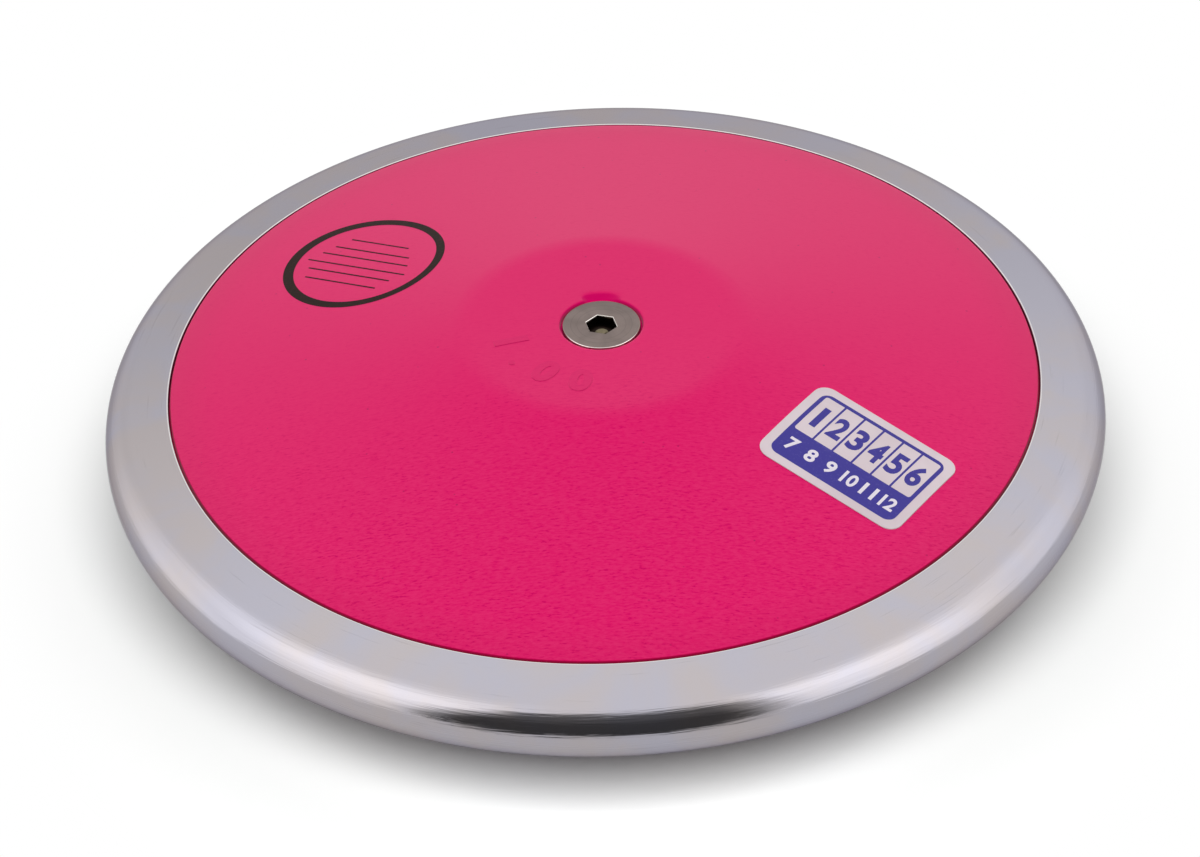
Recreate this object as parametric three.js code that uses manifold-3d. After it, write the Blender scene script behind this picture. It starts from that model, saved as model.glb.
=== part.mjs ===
// Discus of the one kilogram class: a turned steel rim, two moulded side plates and a centre bolt.
// Millimetres, +Z up, origin at the centre of the discus on its spin axis.
import * as THREE from 'three';
import { mergeVertices } from 'three/addons/utils/BufferGeometryUtils.js';
import Module from 'manifold-3d';

const wasm = await Module();
wasm.setup();

// Outline of the whole discus
const OUTER_RADIUS = 90.5;
const HALF_HEIGHT = 19;
const FLAT_RADIUS = 25.5;
const FLAT_BLEND_RADIUS = 34;
const EDGE_RADIUS = 6.25;

// Rim
const SEAT_RADIUS = 78.6;
const SEAT_CHAMFER = 0.3;
const WEB_INNER_RADIUS = 69;
const WEB_THICKNESS = 3.2;
const WEB_CHAMFER = 0.5;

// Side plates
const PLATE_RADIUS = 78.3;
const PLATE_EDGE_ROUND = 0.5;
const PLATE_WALL = 2.6;
const SKIRT_WALL = 2.8;
const RIB_DEPTH = 4;
const RIB_WALL = 2;
const RADIAL_RIBS = 8;
const RING_RIB_RADIUS = 46;
const BOSS_RADIUS = 15;
const BOSS_BOTTOM = 10.4;

// Centre fixing: M8 bolt and barrel nut with flat heads and 5 mm hex sockets
const HEAD_RADIUS = 7.05;
const HEAD_THICKNESS = 3;
const HEAD_CHAMFER = 0.25;
const HEAD_RECESS = 0.35;
const COUNTERBORE_RADIUS = 7.75;
const COUNTERBORE_ROUND = 0.25;
const WASHER_THICKNESS = 2;
const WASHER_RADIUS = 7.4;
const BOLT_RADIUS = 4;
const BOLT_LENGTH = 24;
const BARREL_RADIUS = 5;
const BARREL_BORE_RADIUS = 4.2;
const BARREL_LENGTH = 28;
const BARREL_FLOOR = 6;
const BARREL_HOLE_RADIUS = 5.3;
const HEX_ACROSS_FLATS = 5;
const HEX_DEPTH = 2.9;
const DRILL_TIP_DEPTH = 1.4;
const BOLT_HEX_ANGLE = THREE.MathUtils.degToRad(43.5);
const NUT_HEX_ANGLE = THREE.MathUtils.degToRad(12);

// Weights round the barrel
const BACKING_DISC_RADIUS = 20;
const BACKING_DISC_THICKNESS = 1.5;
const HUB_RADIUS = 18;
const SHIM_COUNT = 3;
const SHIM_THICKNESS = 1;
const STACK_GAP = 0.1;

// Gaskets and drive pins
const GASKET_THICKNESS = 0.8;
const GASKET_INNER_RADIUS = 70.2;
const PIN_COUNT = 4;
const PIN_CIRCLE_RADIUS = 73.5;
const PIN_RADIUS = 1.5;
const PIN_HOLE_RADIUS = 1.7;
const PIN_CHAMFER = 0.3;
const PIN_BOSS_RADIUS = 3.3;
const PIN_SOCKET_DEPTH = 3;
const PIN_FIRST_ANGLE = Math.PI / 4;

// Sticker, placed by its centre on the taper, with its long side pointing outwards
const LABEL_LENGTH = 28;
const LABEL_WIDTH = 22;
const LABEL_CORNER = 3;
const LABEL_THICKNESS = 0.25;
const LABEL_CENTRE_RADIUS = 54.7;
const LABEL_ANGLE = THREE.MathUtils.degToRad(-37);

// Fineness of round shapes
const RIM_SEGMENTS = 72;
const HUB_SEGMENTS = 36;
const HEAD_SEGMENTS = 32;
const PIN_SEGMENTS = 12;
const EDGE_STEPS = 10;
const GASKET_SEGMENTS = 36;
const BLEND_STEPS = 3;
const MERGE_DISTANCE = 1e-4;
const OVERCUT = 1;

// Height where a washer and a head come to rest in the counterbore
const HEAD_TOP = HALF_HEIGHT - HEAD_RECESS;
const HEAD_UNDERSIDE = HEAD_TOP - HEAD_THICKNESS;
const WASHER_TOP = HEAD_UNDERSIDE - STACK_GAP;
const COUNTERBORE_FLOOR = WASHER_TOP - WASHER_THICKNESS - STACK_GAP;
const GASKET_BOTTOM = WEB_THICKNESS / 2 + STACK_GAP;
const SKIRT_BOTTOM = GASKET_BOTTOM + GASKET_THICKNESS + STACK_GAP;

const rimSteel = new THREE.MeshStandardMaterial({ color: 0xbdbdc3, roughness: 0.32, metalness: 1 });
const boltSteel = new THREE.MeshStandardMaterial({ color: 0x98908e, roughness: 0.4, metalness: 1 });
const coreSteel = new THREE.MeshStandardMaterial({ color: 0x8d9093, roughness: 0.5, metalness: 1 });
const springSteel = new THREE.MeshStandardMaterial({ color: 0x5f6166, roughness: 0.45, metalness: 1 });
const pinkPlastic = new THREE.MeshStandardMaterial({ color: 0xdd2a6b, roughness: 0.55, metalness: 0 });
const blackRubber = new THREE.MeshStandardMaterial({ color: 0x1c1c1e, roughness: 0.85, metalness: 0 });
const vinyl = new THREE.MeshStandardMaterial({ color: 0xd9ccd2, roughness: 0.5, metalness: 0 });

const point = (radius, height) => new THREE.Vector2(radius, height);

// The taper is a straight line from the flat centre that runs tangent to the round edge.
const EDGE_CENTRE = OUTER_RADIUS - EDGE_RADIUS;
const TAPER_NORMAL =
  Math.atan2(HALF_HEIGHT, FLAT_RADIUS - EDGE_CENTRE) -
  Math.acos(EDGE_RADIUS / Math.hypot(FLAT_RADIUS - EDGE_CENTRE, HALF_HEIGHT));
const TAPER_SLOPE = 1 / Math.tan(TAPER_NORMAL);
const TAPER_ANGLE = Math.PI / 2 - TAPER_NORMAL;

/** Height of the upper taper at a radius. */
function taperHeight(radius) {
  return HALF_HEIGHT - TAPER_SLOPE * (radius - FLAT_RADIUS);
}

/** Points of an arc from one angle to another, both ends included. */
function arc(centreRadius, centreHeight, radius, from, to, steps) {
  return Array.from({ length: steps + 1 }, (_, step) => {
    const angle = from + ((to - from) * step) / steps;
    return point(centreRadius + radius * Math.cos(angle), centreHeight + radius * Math.sin(angle));
  });
}

/** Solid of revolution about the spin axis, from an outline walked with the material on its left. */
function revolve(outline, segments, closed = true) {
  const points = closed ? [...outline, outline[0].clone()] : outline;
  const geometry = new THREE.LatheGeometry(points, segments);
  return geometry.rotateX(Math.PI / 2);
}

/** Flat ring or, with no inner radius, a disc. */
function ring(innerRadius, outerRadius, bottom, top, segments) {
  const outline = [point(outerRadius, bottom), point(outerRadius, top)];
  if (innerRadius === 0) {
    return revolve([point(0, bottom), ...outline, point(0, top)], segments, false);
  }
  return revolve([point(innerRadius, bottom), ...outline, point(innerRadius, top)], segments);
}

/** Closed solid made of a geometry whose shared corners are merged. */
function solidOf(geometry) {
  const bare = geometry.clone();
  bare.deleteAttribute('normal');
  bare.deleteAttribute('uv');
  const merged = mergeVertices(bare, MERGE_DISTANCE);
  const corners = [];
  for (let first = 0; first < merged.index.count; first += 3) {
    const triangle = [0, 1, 2].map((corner) => merged.index.getX(first + corner));
    if (new Set(triangle).size === 3) {
      corners.push(...triangle);
    }
  }
  const mesh = new wasm.Mesh({
    numProp: 3,
    vertProperties: merged.attributes.position.array,
    triVerts: Uint32Array.from(corners),
  });
  return new wasm.Manifold(mesh);
}

/** Geometry of a solid, with flat faces. */
function geometryOf(solid) {
  const mesh = solid.getMesh();
  const geometry = new THREE.BufferGeometry();
  geometry.setAttribute('position', new THREE.BufferAttribute(mesh.vertProperties, 3));
  geometry.setIndex(new THREE.BufferAttribute(mesh.triVerts, 1));
  const faceted = geometry.toNonIndexed();
  faceted.computeVertexNormals();
  return faceted;
}

/** Angles of the drive pins round the discus. */
function pinAngles() {
  return Array.from({ length: PIN_COUNT }, (_, pin) => PIN_FIRST_ANGLE + (pin * 2 * Math.PI) / PIN_COUNT);
}

/** Upright cylinder solids on the drive pins' circle. */
function pinCylinders(radius, bottom, top, segments = PIN_SEGMENTS) {
  return pinAngles().map((angle) => {
    const cylinder = ring(0, radius, bottom, top, segments);
    const x = PIN_CIRCLE_RADIUS * Math.cos(angle);
    const y = PIN_CIRCLE_RADIUS * Math.sin(angle);
    return solidOf(cylinder.translate(x, y, 0));
  });
}

/** Steel ring: round edge, tapered shoulders, and an inward web for the plates. */
function rimGeometry() {
  const shoulder = [
    point(SEAT_RADIUS, taperHeight(SEAT_RADIUS) - SEAT_CHAMFER),
    point(SEAT_RADIUS + SEAT_CHAMFER, taperHeight(SEAT_RADIUS + SEAT_CHAMFER)),
  ];
  const web = [
    point(WEB_INNER_RADIUS, WEB_THICKNESS / 2 - WEB_CHAMFER),
    point(WEB_INNER_RADIUS + WEB_CHAMFER, WEB_THICKNESS / 2),
    point(SEAT_RADIUS, WEB_THICKNESS / 2),
  ];
  const upperInside = [...web, ...shoulder];
  const mirrored = ({ x, y }) => point(x, -y);
  const lowerInside = upperInside.map(mirrored).reverse();
  const edge = arc(EDGE_CENTRE, 0, EDGE_RADIUS, -TAPER_NORMAL, TAPER_NORMAL, EDGE_STEPS);
  const outline = [...edge, ...[...upperInside].reverse(), ...[...lowerInside].reverse()];
  const half = WEB_THICKNESS / 2 + OVERCUT;
  return geometryOf(
    pinCylinders(PIN_HOLE_RADIUS, -half, half).reduce(
      (rim, hole) => rim.subtract(hole),
      solidOf(revolve(outline, RIM_SEGMENTS)),
    ),
  );
}

/** Skin, boss and skirt of a side plate as one solid of revolution. */
function plateShell() {
  const blendReach = FLAT_BLEND_RADIUS * Math.tan(TAPER_ANGLE / 2);
  const blend = arc(
    FLAT_RADIUS - blendReach,
    HALF_HEIGHT - FLAT_BLEND_RADIUS,
    FLAT_BLEND_RADIUS,
    TAPER_NORMAL,
    Math.PI / 2,
    BLEND_STEPS,
  );
  const innerHeight = (radius) => Math.min(taperHeight(radius), HALF_HEIGHT) - PLATE_WALL;
  const skirtInside = PLATE_RADIUS - SKIRT_WALL;
  const ringRibIn = RING_RIB_RADIUS - RIB_WALL / 2;
  const ringRibOut = RING_RIB_RADIUS + RIB_WALL / 2;
  return revolve(
    [
      point(BOSS_RADIUS, BOSS_BOTTOM),
      point(BOSS_RADIUS, innerHeight(BOSS_RADIUS)),
      point(FLAT_RADIUS, innerHeight(FLAT_RADIUS)),
      point(ringRibIn, innerHeight(ringRibIn)),
      point(ringRibIn, innerHeight(ringRibIn) - RIB_DEPTH),
      point(ringRibOut, innerHeight(ringRibOut) - RIB_DEPTH),
      point(ringRibOut, innerHeight(ringRibOut)),
      point(skirtInside, innerHeight(skirtInside)),
      point(skirtInside, SKIRT_BOTTOM),
      point(PLATE_RADIUS, SKIRT_BOTTOM),
      point(PLATE_RADIUS, taperHeight(PLATE_RADIUS) - PLATE_EDGE_ROUND),
      point(PLATE_RADIUS - PLATE_EDGE_ROUND, taperHeight(PLATE_RADIUS - PLATE_EDGE_ROUND)),
      ...blend,
      point(COUNTERBORE_RADIUS + COUNTERBORE_ROUND, HALF_HEIGHT),
      point(COUNTERBORE_RADIUS, HALF_HEIGHT - COUNTERBORE_ROUND),
      point(COUNTERBORE_RADIUS, COUNTERBORE_FLOOR),
      point(BARREL_HOLE_RADIUS, COUNTERBORE_FLOOR),
      point(BARREL_HOLE_RADIUS, BOSS_BOTTOM),
    ],
    RIM_SEGMENTS,
  );
}

/** One rib under the skin, from the boss out to the skirt, turned to its angle. */
function radialRib(angle) {
  const innerEnd = BOSS_RADIUS - RIB_WALL / 2;
  const outerEnd = PLATE_RADIUS - SKIRT_WALL / 2;
  const middleOfSkin = (radius) => Math.min(taperHeight(radius), HALF_HEIGHT) - PLATE_WALL / 2;
  const underside = (radius) => middleOfSkin(radius) - PLATE_WALL / 2 - RIB_DEPTH;
  const outline = new THREE.Shape([
    point(innerEnd, underside(innerEnd)),
    point(FLAT_RADIUS, underside(FLAT_RADIUS)),
    point(outerEnd, SKIRT_BOTTOM),
    point(outerEnd, middleOfSkin(outerEnd)),
    point(FLAT_RADIUS, middleOfSkin(FLAT_RADIUS)),
    point(innerEnd, middleOfSkin(innerEnd)),
  ]);
  const rib = new THREE.ExtrudeGeometry(outline, { depth: RIB_WALL, bevelEnabled: false });
  rib.translate(0, 0, -RIB_WALL / 2).rotateX(Math.PI / 2).rotateZ(angle);
  return solidOf(rib);
}

/** Upper side plate. The lower one is the same moulding turned over. */
function plateGeometry() {
  let plate = solidOf(plateShell());
  for (let rib = 0; rib < RADIAL_RIBS; rib += 1) {
    plate = plate.add(radialRib(((rib + 0.5) * 2 * Math.PI) / RADIAL_RIBS));
  }
  const bossTop = taperHeight(PIN_CIRCLE_RADIUS + PIN_BOSS_RADIUS) - PLATE_WALL / 2;
  for (const boss of pinCylinders(PIN_BOSS_RADIUS, SKIRT_BOTTOM, bossTop, 2 * PIN_SEGMENTS)) {
    plate = plate.add(boss);
  }
  const socketTop = SKIRT_BOTTOM + PIN_SOCKET_DEPTH;
  for (const socket of pinCylinders(PIN_HOLE_RADIUS, SKIRT_BOTTOM - OVERCUT, socketTop)) {
    plate = plate.subtract(socket);
  }
  return geometryOf(plate);
}

/** Hex socket cutter, sunk from a head's top face at height zero, with a drilled tip below it. */
function hexSocket(angle) {
  const cornerRadius = HEX_ACROSS_FLATS / 2 / Math.cos(Math.PI / 6);
  const flatsRadius = HEX_ACROSS_FLATS / 2;
  const prism = revolve(
    [
      point(0, -HEX_DEPTH),
      point(cornerRadius, -HEX_DEPTH),
      point(cornerRadius, OVERCUT),
      point(0, OVERCUT),
    ],
    6,
    false,
  );
  // The lathe puts two opposite corners on the Y axis, and one of them turns to the given angle.
  prism.rotateZ(angle - Math.PI / 2);
  const tip = revolve(
    [
      point(0, -HEX_DEPTH - DRILL_TIP_DEPTH),
      point(flatsRadius, -HEX_DEPTH),
      point(flatsRadius, -HEX_DEPTH / 2),
      point(0, -HEX_DEPTH / 2),
    ],
    HEAD_SEGMENTS,
    false,
  );
  return solidOf(prism).add(solidOf(tip));
}

/** Bolt with its head's top face at height zero. */
function boltSolid() {
  const shankEnd = -HEAD_THICKNESS - BOLT_LENGTH;
  const tipChamfer = BOLT_RADIUS / 5;
  const body = revolve(
    [
      point(0, shankEnd),
      point(BOLT_RADIUS - tipChamfer, shankEnd),
      point(BOLT_RADIUS, shankEnd + tipChamfer),
      point(BOLT_RADIUS, -HEAD_THICKNESS),
      point(HEAD_RADIUS, -HEAD_THICKNESS),
      point(HEAD_RADIUS, -HEAD_CHAMFER),
      point(HEAD_RADIUS - HEAD_CHAMFER, 0),
      point(0, 0),
    ],
    HEAD_SEGMENTS,
    false,
  );
  return solidOf(body).subtract(hexSocket(BOLT_HEX_ANGLE));
}

/** Barrel nut with its head's outer face at height zero and its barrel below. */
function barrelNutSolid() {
  const barrelEnd = -HEAD_THICKNESS - BARREL_LENGTH;
  const boreFloor = -HEAD_THICKNESS - BARREL_FLOOR;
  const body = revolve(
    [
      point(0, boreFloor),
      point(BARREL_BORE_RADIUS, boreFloor),
      point(BARREL_BORE_RADIUS, barrelEnd),
      point(BARREL_RADIUS, barrelEnd),
      point(BARREL_RADIUS, -HEAD_THICKNESS),
      point(HEAD_RADIUS, -HEAD_THICKNESS),
      point(HEAD_RADIUS, -HEAD_CHAMFER),
      point(HEAD_RADIUS - HEAD_CHAMFER, 0),
      point(0, 0),
    ],
    HEAD_SEGMENTS,
    false,
  );
  return solidOf(body).subtract(hexSocket(NUT_HEX_ANGLE));
}

/** Washer with one slanting cut through it, pressed flat under the bolt head. */
function springWasherGeometry() {
  const washer = ring(BOLT_RADIUS + STACK_GAP, WASHER_RADIUS, 0, WASHER_THICKNESS, HEAD_SEGMENTS);
  const cutWidth = 1;
  const cutLean = THREE.MathUtils.degToRad(25);
  const cut = new THREE.BoxGeometry(WASHER_RADIUS, cutWidth, 3 * WASHER_THICKNESS);
  cut.rotateX(cutLean).translate(WASHER_RADIUS / 2 + BOLT_RADIUS / 2, 0, WASHER_THICKNESS / 2);
  return geometryOf(solidOf(washer).subtract(solidOf(cut)));
}

/** Flat rubber ring with a hole for each drive pin. */
function gasketGeometry() {
  const band = ring(GASKET_INNER_RADIUS, PLATE_RADIUS, 0, GASKET_THICKNESS, GASKET_SEGMENTS);
  return geometryOf(
    pinCylinders(PIN_HOLE_RADIUS, -OVERCUT, GASKET_THICKNESS + OVERCUT).reduce(
      (gasket, hole) => gasket.subtract(hole),
      solidOf(band),
    ),
  );
}

/** Pin that runs through the web into a socket of each plate. */
function drivePinGeometry() {
  const halfLength = SKIRT_BOTTOM + PIN_SOCKET_DEPTH - PIN_CHAMFER;
  return revolve(
    [
      point(0, -halfLength),
      point(PIN_RADIUS - PIN_CHAMFER, -halfLength),
      point(PIN_RADIUS, -halfLength + PIN_CHAMFER),
      point(PIN_RADIUS, halfLength - PIN_CHAMFER),
      point(PIN_RADIUS - PIN_CHAMFER, halfLength),
      point(0, halfLength),
    ],
    PIN_SEGMENTS,
    false,
  );
}

/** Rectangle with round corners, centred on the origin. */
function roundedRectangle(length, width, corner) {
  const x = length / 2;
  const y = width / 2;
  const outline = new THREE.Shape();
  outline.moveTo(-x + corner, -y);
  outline.lineTo(x - corner, -y);
  outline.absarc(x - corner, -y + corner, corner, -Math.PI / 2, 0);
  outline.lineTo(x, y - corner);
  outline.absarc(x - corner, y - corner, corner, 0, Math.PI / 2);
  outline.lineTo(-x + corner, y);
  outline.absarc(-x + corner, y - corner, corner, Math.PI / 2, Math.PI);
  outline.lineTo(-x, -y + corner);
  outline.absarc(-x + corner, -y + corner, corner, Math.PI, 1.5 * Math.PI);
  return outline;
}

/** Thin sticker that follows the taper, just clear of the plate. */
function labelGeometry() {
  const outline = roundedRectangle(LABEL_LENGTH, LABEL_WIDTH, LABEL_CORNER);
  const cornerSteps = 4;
  const block = new THREE.ExtrudeGeometry(outline, {
    depth: HALF_HEIGHT,
    bevelEnabled: false,
    curveSegments: cornerSteps,
  });
  block.translate(LABEL_CENTRE_RADIUS, 0, 0).rotateZ(LABEL_ANGLE);
  const innerEnd = LABEL_CENTRE_RADIUS - LABEL_LENGTH;
  const outerEnd = LABEL_CENTRE_RADIUS + LABEL_LENGTH;
  const underside = (radius) => taperHeight(radius) + STACK_GAP;
  const skin = revolve(
    [
      point(innerEnd, underside(innerEnd)),
      point(outerEnd, underside(outerEnd)),
      point(outerEnd, underside(outerEnd) + LABEL_THICKNESS),
      point(innerEnd, underside(innerEnd) + LABEL_THICKNESS),
    ],
    RIM_SEGMENTS,
  );
  return geometryOf(solidOf(skin).intersect(solidOf(block)));
}

const discus = new THREE.Group();

/** Adds a named piece to the discus at a height. */
function place(name, geometry, material, height = 0) {
  const mesh = new THREE.Mesh(geometry, material);
  mesh.name = name;
  mesh.position.z = height;
  discus.add(mesh);
  return mesh;
}

/** Turns a piece over about the X axis, so that it faces down. */
function turnOver(mesh) {
  mesh.rotation.x = Math.PI;
  return mesh;
}

place('rim', rimGeometry(), rimSteel);
place('top_plate', plateGeometry(), pinkPlastic);
turnOver(place('bottom_plate', plateGeometry(), pinkPlastic));

place('centre_bolt', geometryOf(boltSolid()), boltSteel, HEAD_TOP);
turnOver(place('barrel_nut', geometryOf(barrelNutSolid()), boltSteel, -HEAD_TOP));
place('spring_washer', springWasherGeometry(), springSteel, WASHER_TOP - WASHER_THICKNESS);
place(
  'plain_washer',
  ring(BARREL_HOLE_RADIUS, WASHER_RADIUS, 0, WASHER_THICKNESS, HEAD_SEGMENTS),
  boltSteel,
  -WASHER_TOP,
);

// The stack between the two bosses, from the top down
let stackTop = BOSS_BOTTOM - STACK_GAP;

/** Adds the next piece of the stack and moves down by its thickness and a gap. */
function stack(name, radius, thickness) {
  const disc = ring(BARREL_HOLE_RADIUS, radius, 0, thickness, HUB_SEGMENTS);
  place(name, disc, coreSteel, stackTop - thickness);
  stackTop -= thickness + STACK_GAP;
}

const lowerDiscTop = -BOSS_BOTTOM + STACK_GAP + BACKING_DISC_THICKNESS;
stack('upper_backing_disc', BACKING_DISC_RADIUS, BACKING_DISC_THICKNESS);
for (let shim = 1; shim <= SHIM_COUNT; shim += 1) {
  stack(`trim_shim_${shim}`, HUB_RADIUS, SHIM_THICKNESS);
}
stack('hub_core', HUB_RADIUS, stackTop - lowerDiscTop - STACK_GAP);
stack('lower_backing_disc', BACKING_DISC_RADIUS, BACKING_DISC_THICKNESS);

place('upper_gasket', gasketGeometry(), blackRubber, GASKET_BOTTOM);
turnOver(place('lower_gasket', gasketGeometry(), blackRubber, -GASKET_BOTTOM));

pinAngles().forEach((angle, index) => {
  const pin = place(`drive_pin_${index + 1}`, drivePinGeometry(), springSteel);
  pin.position.set(PIN_CIRCLE_RADIUS * Math.cos(angle), PIN_CIRCLE_RADIUS * Math.sin(angle), 0);
});

place('label', labelGeometry(), vinyl);

export default discus;
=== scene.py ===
"""Discus of the one kilogram class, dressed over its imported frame.

A steel rim holds two pink moulded plates, clamped by a hex socket bolt. Every length is in
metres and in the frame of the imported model: origin at the centre of the discus, +Z up.
"""

from __future__ import annotations

import logging
import math
from dataclasses import dataclass
from enum import Enum
from functools import partial
from typing import Any, Callable, Sequence

import bmesh
import bpy
from mathutils import Matrix, Vector
from mathutils.geometry import delaunay_2d_cdt


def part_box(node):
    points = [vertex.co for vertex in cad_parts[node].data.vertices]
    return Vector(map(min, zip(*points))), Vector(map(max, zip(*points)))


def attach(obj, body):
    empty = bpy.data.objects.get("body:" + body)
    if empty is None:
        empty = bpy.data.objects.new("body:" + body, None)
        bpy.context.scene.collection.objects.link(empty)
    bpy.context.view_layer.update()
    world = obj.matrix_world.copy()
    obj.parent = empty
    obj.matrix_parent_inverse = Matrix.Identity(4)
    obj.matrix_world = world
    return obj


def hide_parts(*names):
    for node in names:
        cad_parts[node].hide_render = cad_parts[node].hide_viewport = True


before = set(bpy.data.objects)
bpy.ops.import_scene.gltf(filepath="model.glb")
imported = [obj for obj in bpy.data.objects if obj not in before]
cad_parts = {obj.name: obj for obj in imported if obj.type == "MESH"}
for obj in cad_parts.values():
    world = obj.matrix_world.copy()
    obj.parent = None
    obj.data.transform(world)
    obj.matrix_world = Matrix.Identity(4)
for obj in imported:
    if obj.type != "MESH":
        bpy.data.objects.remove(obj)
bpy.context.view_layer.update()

LOG = logging.getLogger("discus")
MM = 0.001
BODY = "root"

Point = tuple[float, float]
Span = tuple[float, float]
Colour = tuple[float, float, float]
Placer = Callable[[float, float], Vector]
Shape = tuple[list[Point], list[tuple[int, ...]]]


# Shader building


class Value:
    """Output of a node, with arithmetic that adds Math nodes."""

    def __init__(self, graph: Graph, socket: bpy.types.NodeSocket) -> None:
        """Keeps an output and its graph."""
        self.graph = graph
        self.socket = socket

    def __add__(self, other: Any) -> Value:
        """Sum."""
        return self.graph.math("ADD", self, other)

    def __sub__(self, other: Any) -> Value:
        """Difference."""
        return self.graph.math("SUBTRACT", self, other)

    def __rsub__(self, other: Any) -> Value:
        """Difference from a number."""
        return self.graph.math("SUBTRACT", other, self)

    def __mul__(self, other: Any) -> Value:
        """Product."""
        return self.graph.math("MULTIPLY", self, other)

    def __truediv__(self, other: Any) -> Value:
        """Quotient."""
        return self.graph.math("DIVIDE", self, other)

    def __rtruediv__(self, other: Any) -> Value:
        """A number divided by this."""
        return self.graph.math("DIVIDE", other, self)


class Graph:
    """Adds and links the nodes of one shader tree."""

    def __init__(self, tree: bpy.types.NodeTree) -> None:
        """Empties the tree."""
        self.tree = tree
        tree.nodes.clear()

    def add(self, kind: str, inputs: dict[Any, Any] | None = None, **settings: Any) -> dict[Any, Value]:
        """Adds one node.

        Args:
            kind: Blender's name of the node type.
            inputs: Socket name or number, and a value or another node's output for it.
            settings: Properties of the node.

        Returns:
            The node's outputs by name and by number.
        """
        node = self.tree.nodes.new(kind)
        for name, value in settings.items():
            setattr(node, name, value)
        for key, value in (inputs or {}).items():
            socket = node.inputs[key]
            if isinstance(value, Value):
                self.tree.links.new(value.socket, socket)
            elif isinstance(value, tuple) and len(value) < len(socket.default_value):
                socket.default_value = (*value, 1.0)
            else:
                socket.default_value = value
        outputs = {out.name: Value(self, out) for out in node.outputs}
        outputs.update((number, Value(self, out)) for number, out in enumerate(node.outputs))
        return outputs

    def math(self, operation: str, *values: Any, clamp: bool = False) -> Value:
        """Result of a Math node on numbers or outputs, kept from 0 to 1 where it is clamped."""
        return self.add("ShaderNodeMath", dict(enumerate(values)), operation=operation, use_clamp=clamp)[0]

    def step(self, value: Any, start: Any, end: Any, low: float = 0.0, high: float = 1.0) -> Value:
        """Number that eases from low to high while a value goes from start to end."""
        inputs = dict(enumerate((value, start, end, low, high)))
        return self.add("ShaderNodeMapRange", inputs, interpolation_type="SMOOTHSTEP")[0]

    def between(self, share: Value, first: Any, second: Any) -> Value:
        """Number between two others, which is the second one where the share is 1."""
        return share * (second - first) + first

    def paint(self, base: Any, *coats: tuple[Any, Any]) -> Value:
        """Lays coats of colour over one another.

        Args:
            base: Colour below all.
            coats: Mask and colour of each coat.

        Returns:
            The colour on top.
        """
        for mask, colour in coats:
            base = self.add("ShaderNodeMix", {0: mask, 6: base, 7: colour}, data_type="RGBA")[2]
        return base

    def noise(self, where: Value, scale: Any = 1.0, detail: float = 2.0, **inputs: Any) -> Value:
        """Adds a noise.

        Args:
            where: Place that is read.
            scale: Number of clouds for each unit of the place.
            detail: Number of finer layers.
            inputs: Other sockets of the node by name, where w makes the noise four-dimensional.

        Returns:
            Noise round 0.5.
        """
        named = {name.title(): value for name, value in inputs.items()}
        named |= {"Vector": where, "Scale": scale, "Detail": detail}
        return self.add("ShaderNodeTexNoise", named, noise_dimensions="4D" if "w" in inputs else "3D")[0]

    def place(self) -> Value:
        """Position on the piece in metres, in the frame of the discus."""
        return self.add("ShaderNodeTexCoord")["Object"]

    def split(self, vector: Value) -> tuple[Value, Value, Value]:
        """X, Y and Z of a vector."""
        parts = self.add("ShaderNodeSeparateXYZ", {0: vector})
        return parts[0], parts[1], parts[2]

    def join(self, x: Any, y: Any, z: Any) -> Value:
        """Vector of three numbers."""
        return self.add("ShaderNodeCombineXYZ", {0: x, 1: y, 2: z})[0]

    def radius(self, vector: Value) -> Value:
        """Distance of a position from the spin axis."""
        x, y, _ = self.split(vector)
        return self.math("SQRT", x * x + y * y)

    def bump(self, height: Value, depth: float) -> Value:
        """Normal of a relief from 0 to 1, with its depth in metres."""
        return self.add("ShaderNodeBump", {"Strength": 1.0, "Distance": depth, "Height": height})[0]


class Effect:
    """A surface effect that several materials share, kept as one node group."""

    NAME = ""
    INPUTS: dict[str, float] = {}
    VECTORS: tuple[str, ...] = ()
    OUTPUTS: tuple[str, ...] = ()

    def tree(self) -> bpy.types.NodeTree:
        """Builds the group once.

        Returns:
            The node group.
        """
        made = bpy.data.node_groups.get(self.NAME)
        if made is not None:
            return made
        tree = bpy.data.node_groups.new(self.NAME, "ShaderNodeTree")
        for name, value in self.INPUTS.items():
            socket = tree.interface.new_socket(name, in_out="INPUT", socket_type="NodeSocketFloat")
            socket.default_value = value
        for name in self.VECTORS:
            tree.interface.new_socket(name, in_out="INPUT", socket_type="NodeSocketVector")
        for name in self.OUTPUTS:
            tree.interface.new_socket(name, in_out="OUTPUT", socket_type="NodeSocketFloat")
        graph = Graph(tree)
        graph.add("NodeGroupOutput", self.build(graph, graph.add("NodeGroupInput")))
        return tree

    def build(self, graph: Graph, given: dict[Any, Value]) -> dict[str, Value]:
        """Fills the group from its inputs, and gives a result for each named output."""
        raise NotImplementedError

    def put(self, graph: Graph, **values: Any) -> dict[Any, Value]:
        """Places the group in a material, with values for its inputs, and gives its outputs by name."""
        inputs = {name.title(): value for name, value in values.items()}
        return graph.add("ShaderNodeGroup", inputs, node_tree=self.tree())


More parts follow.
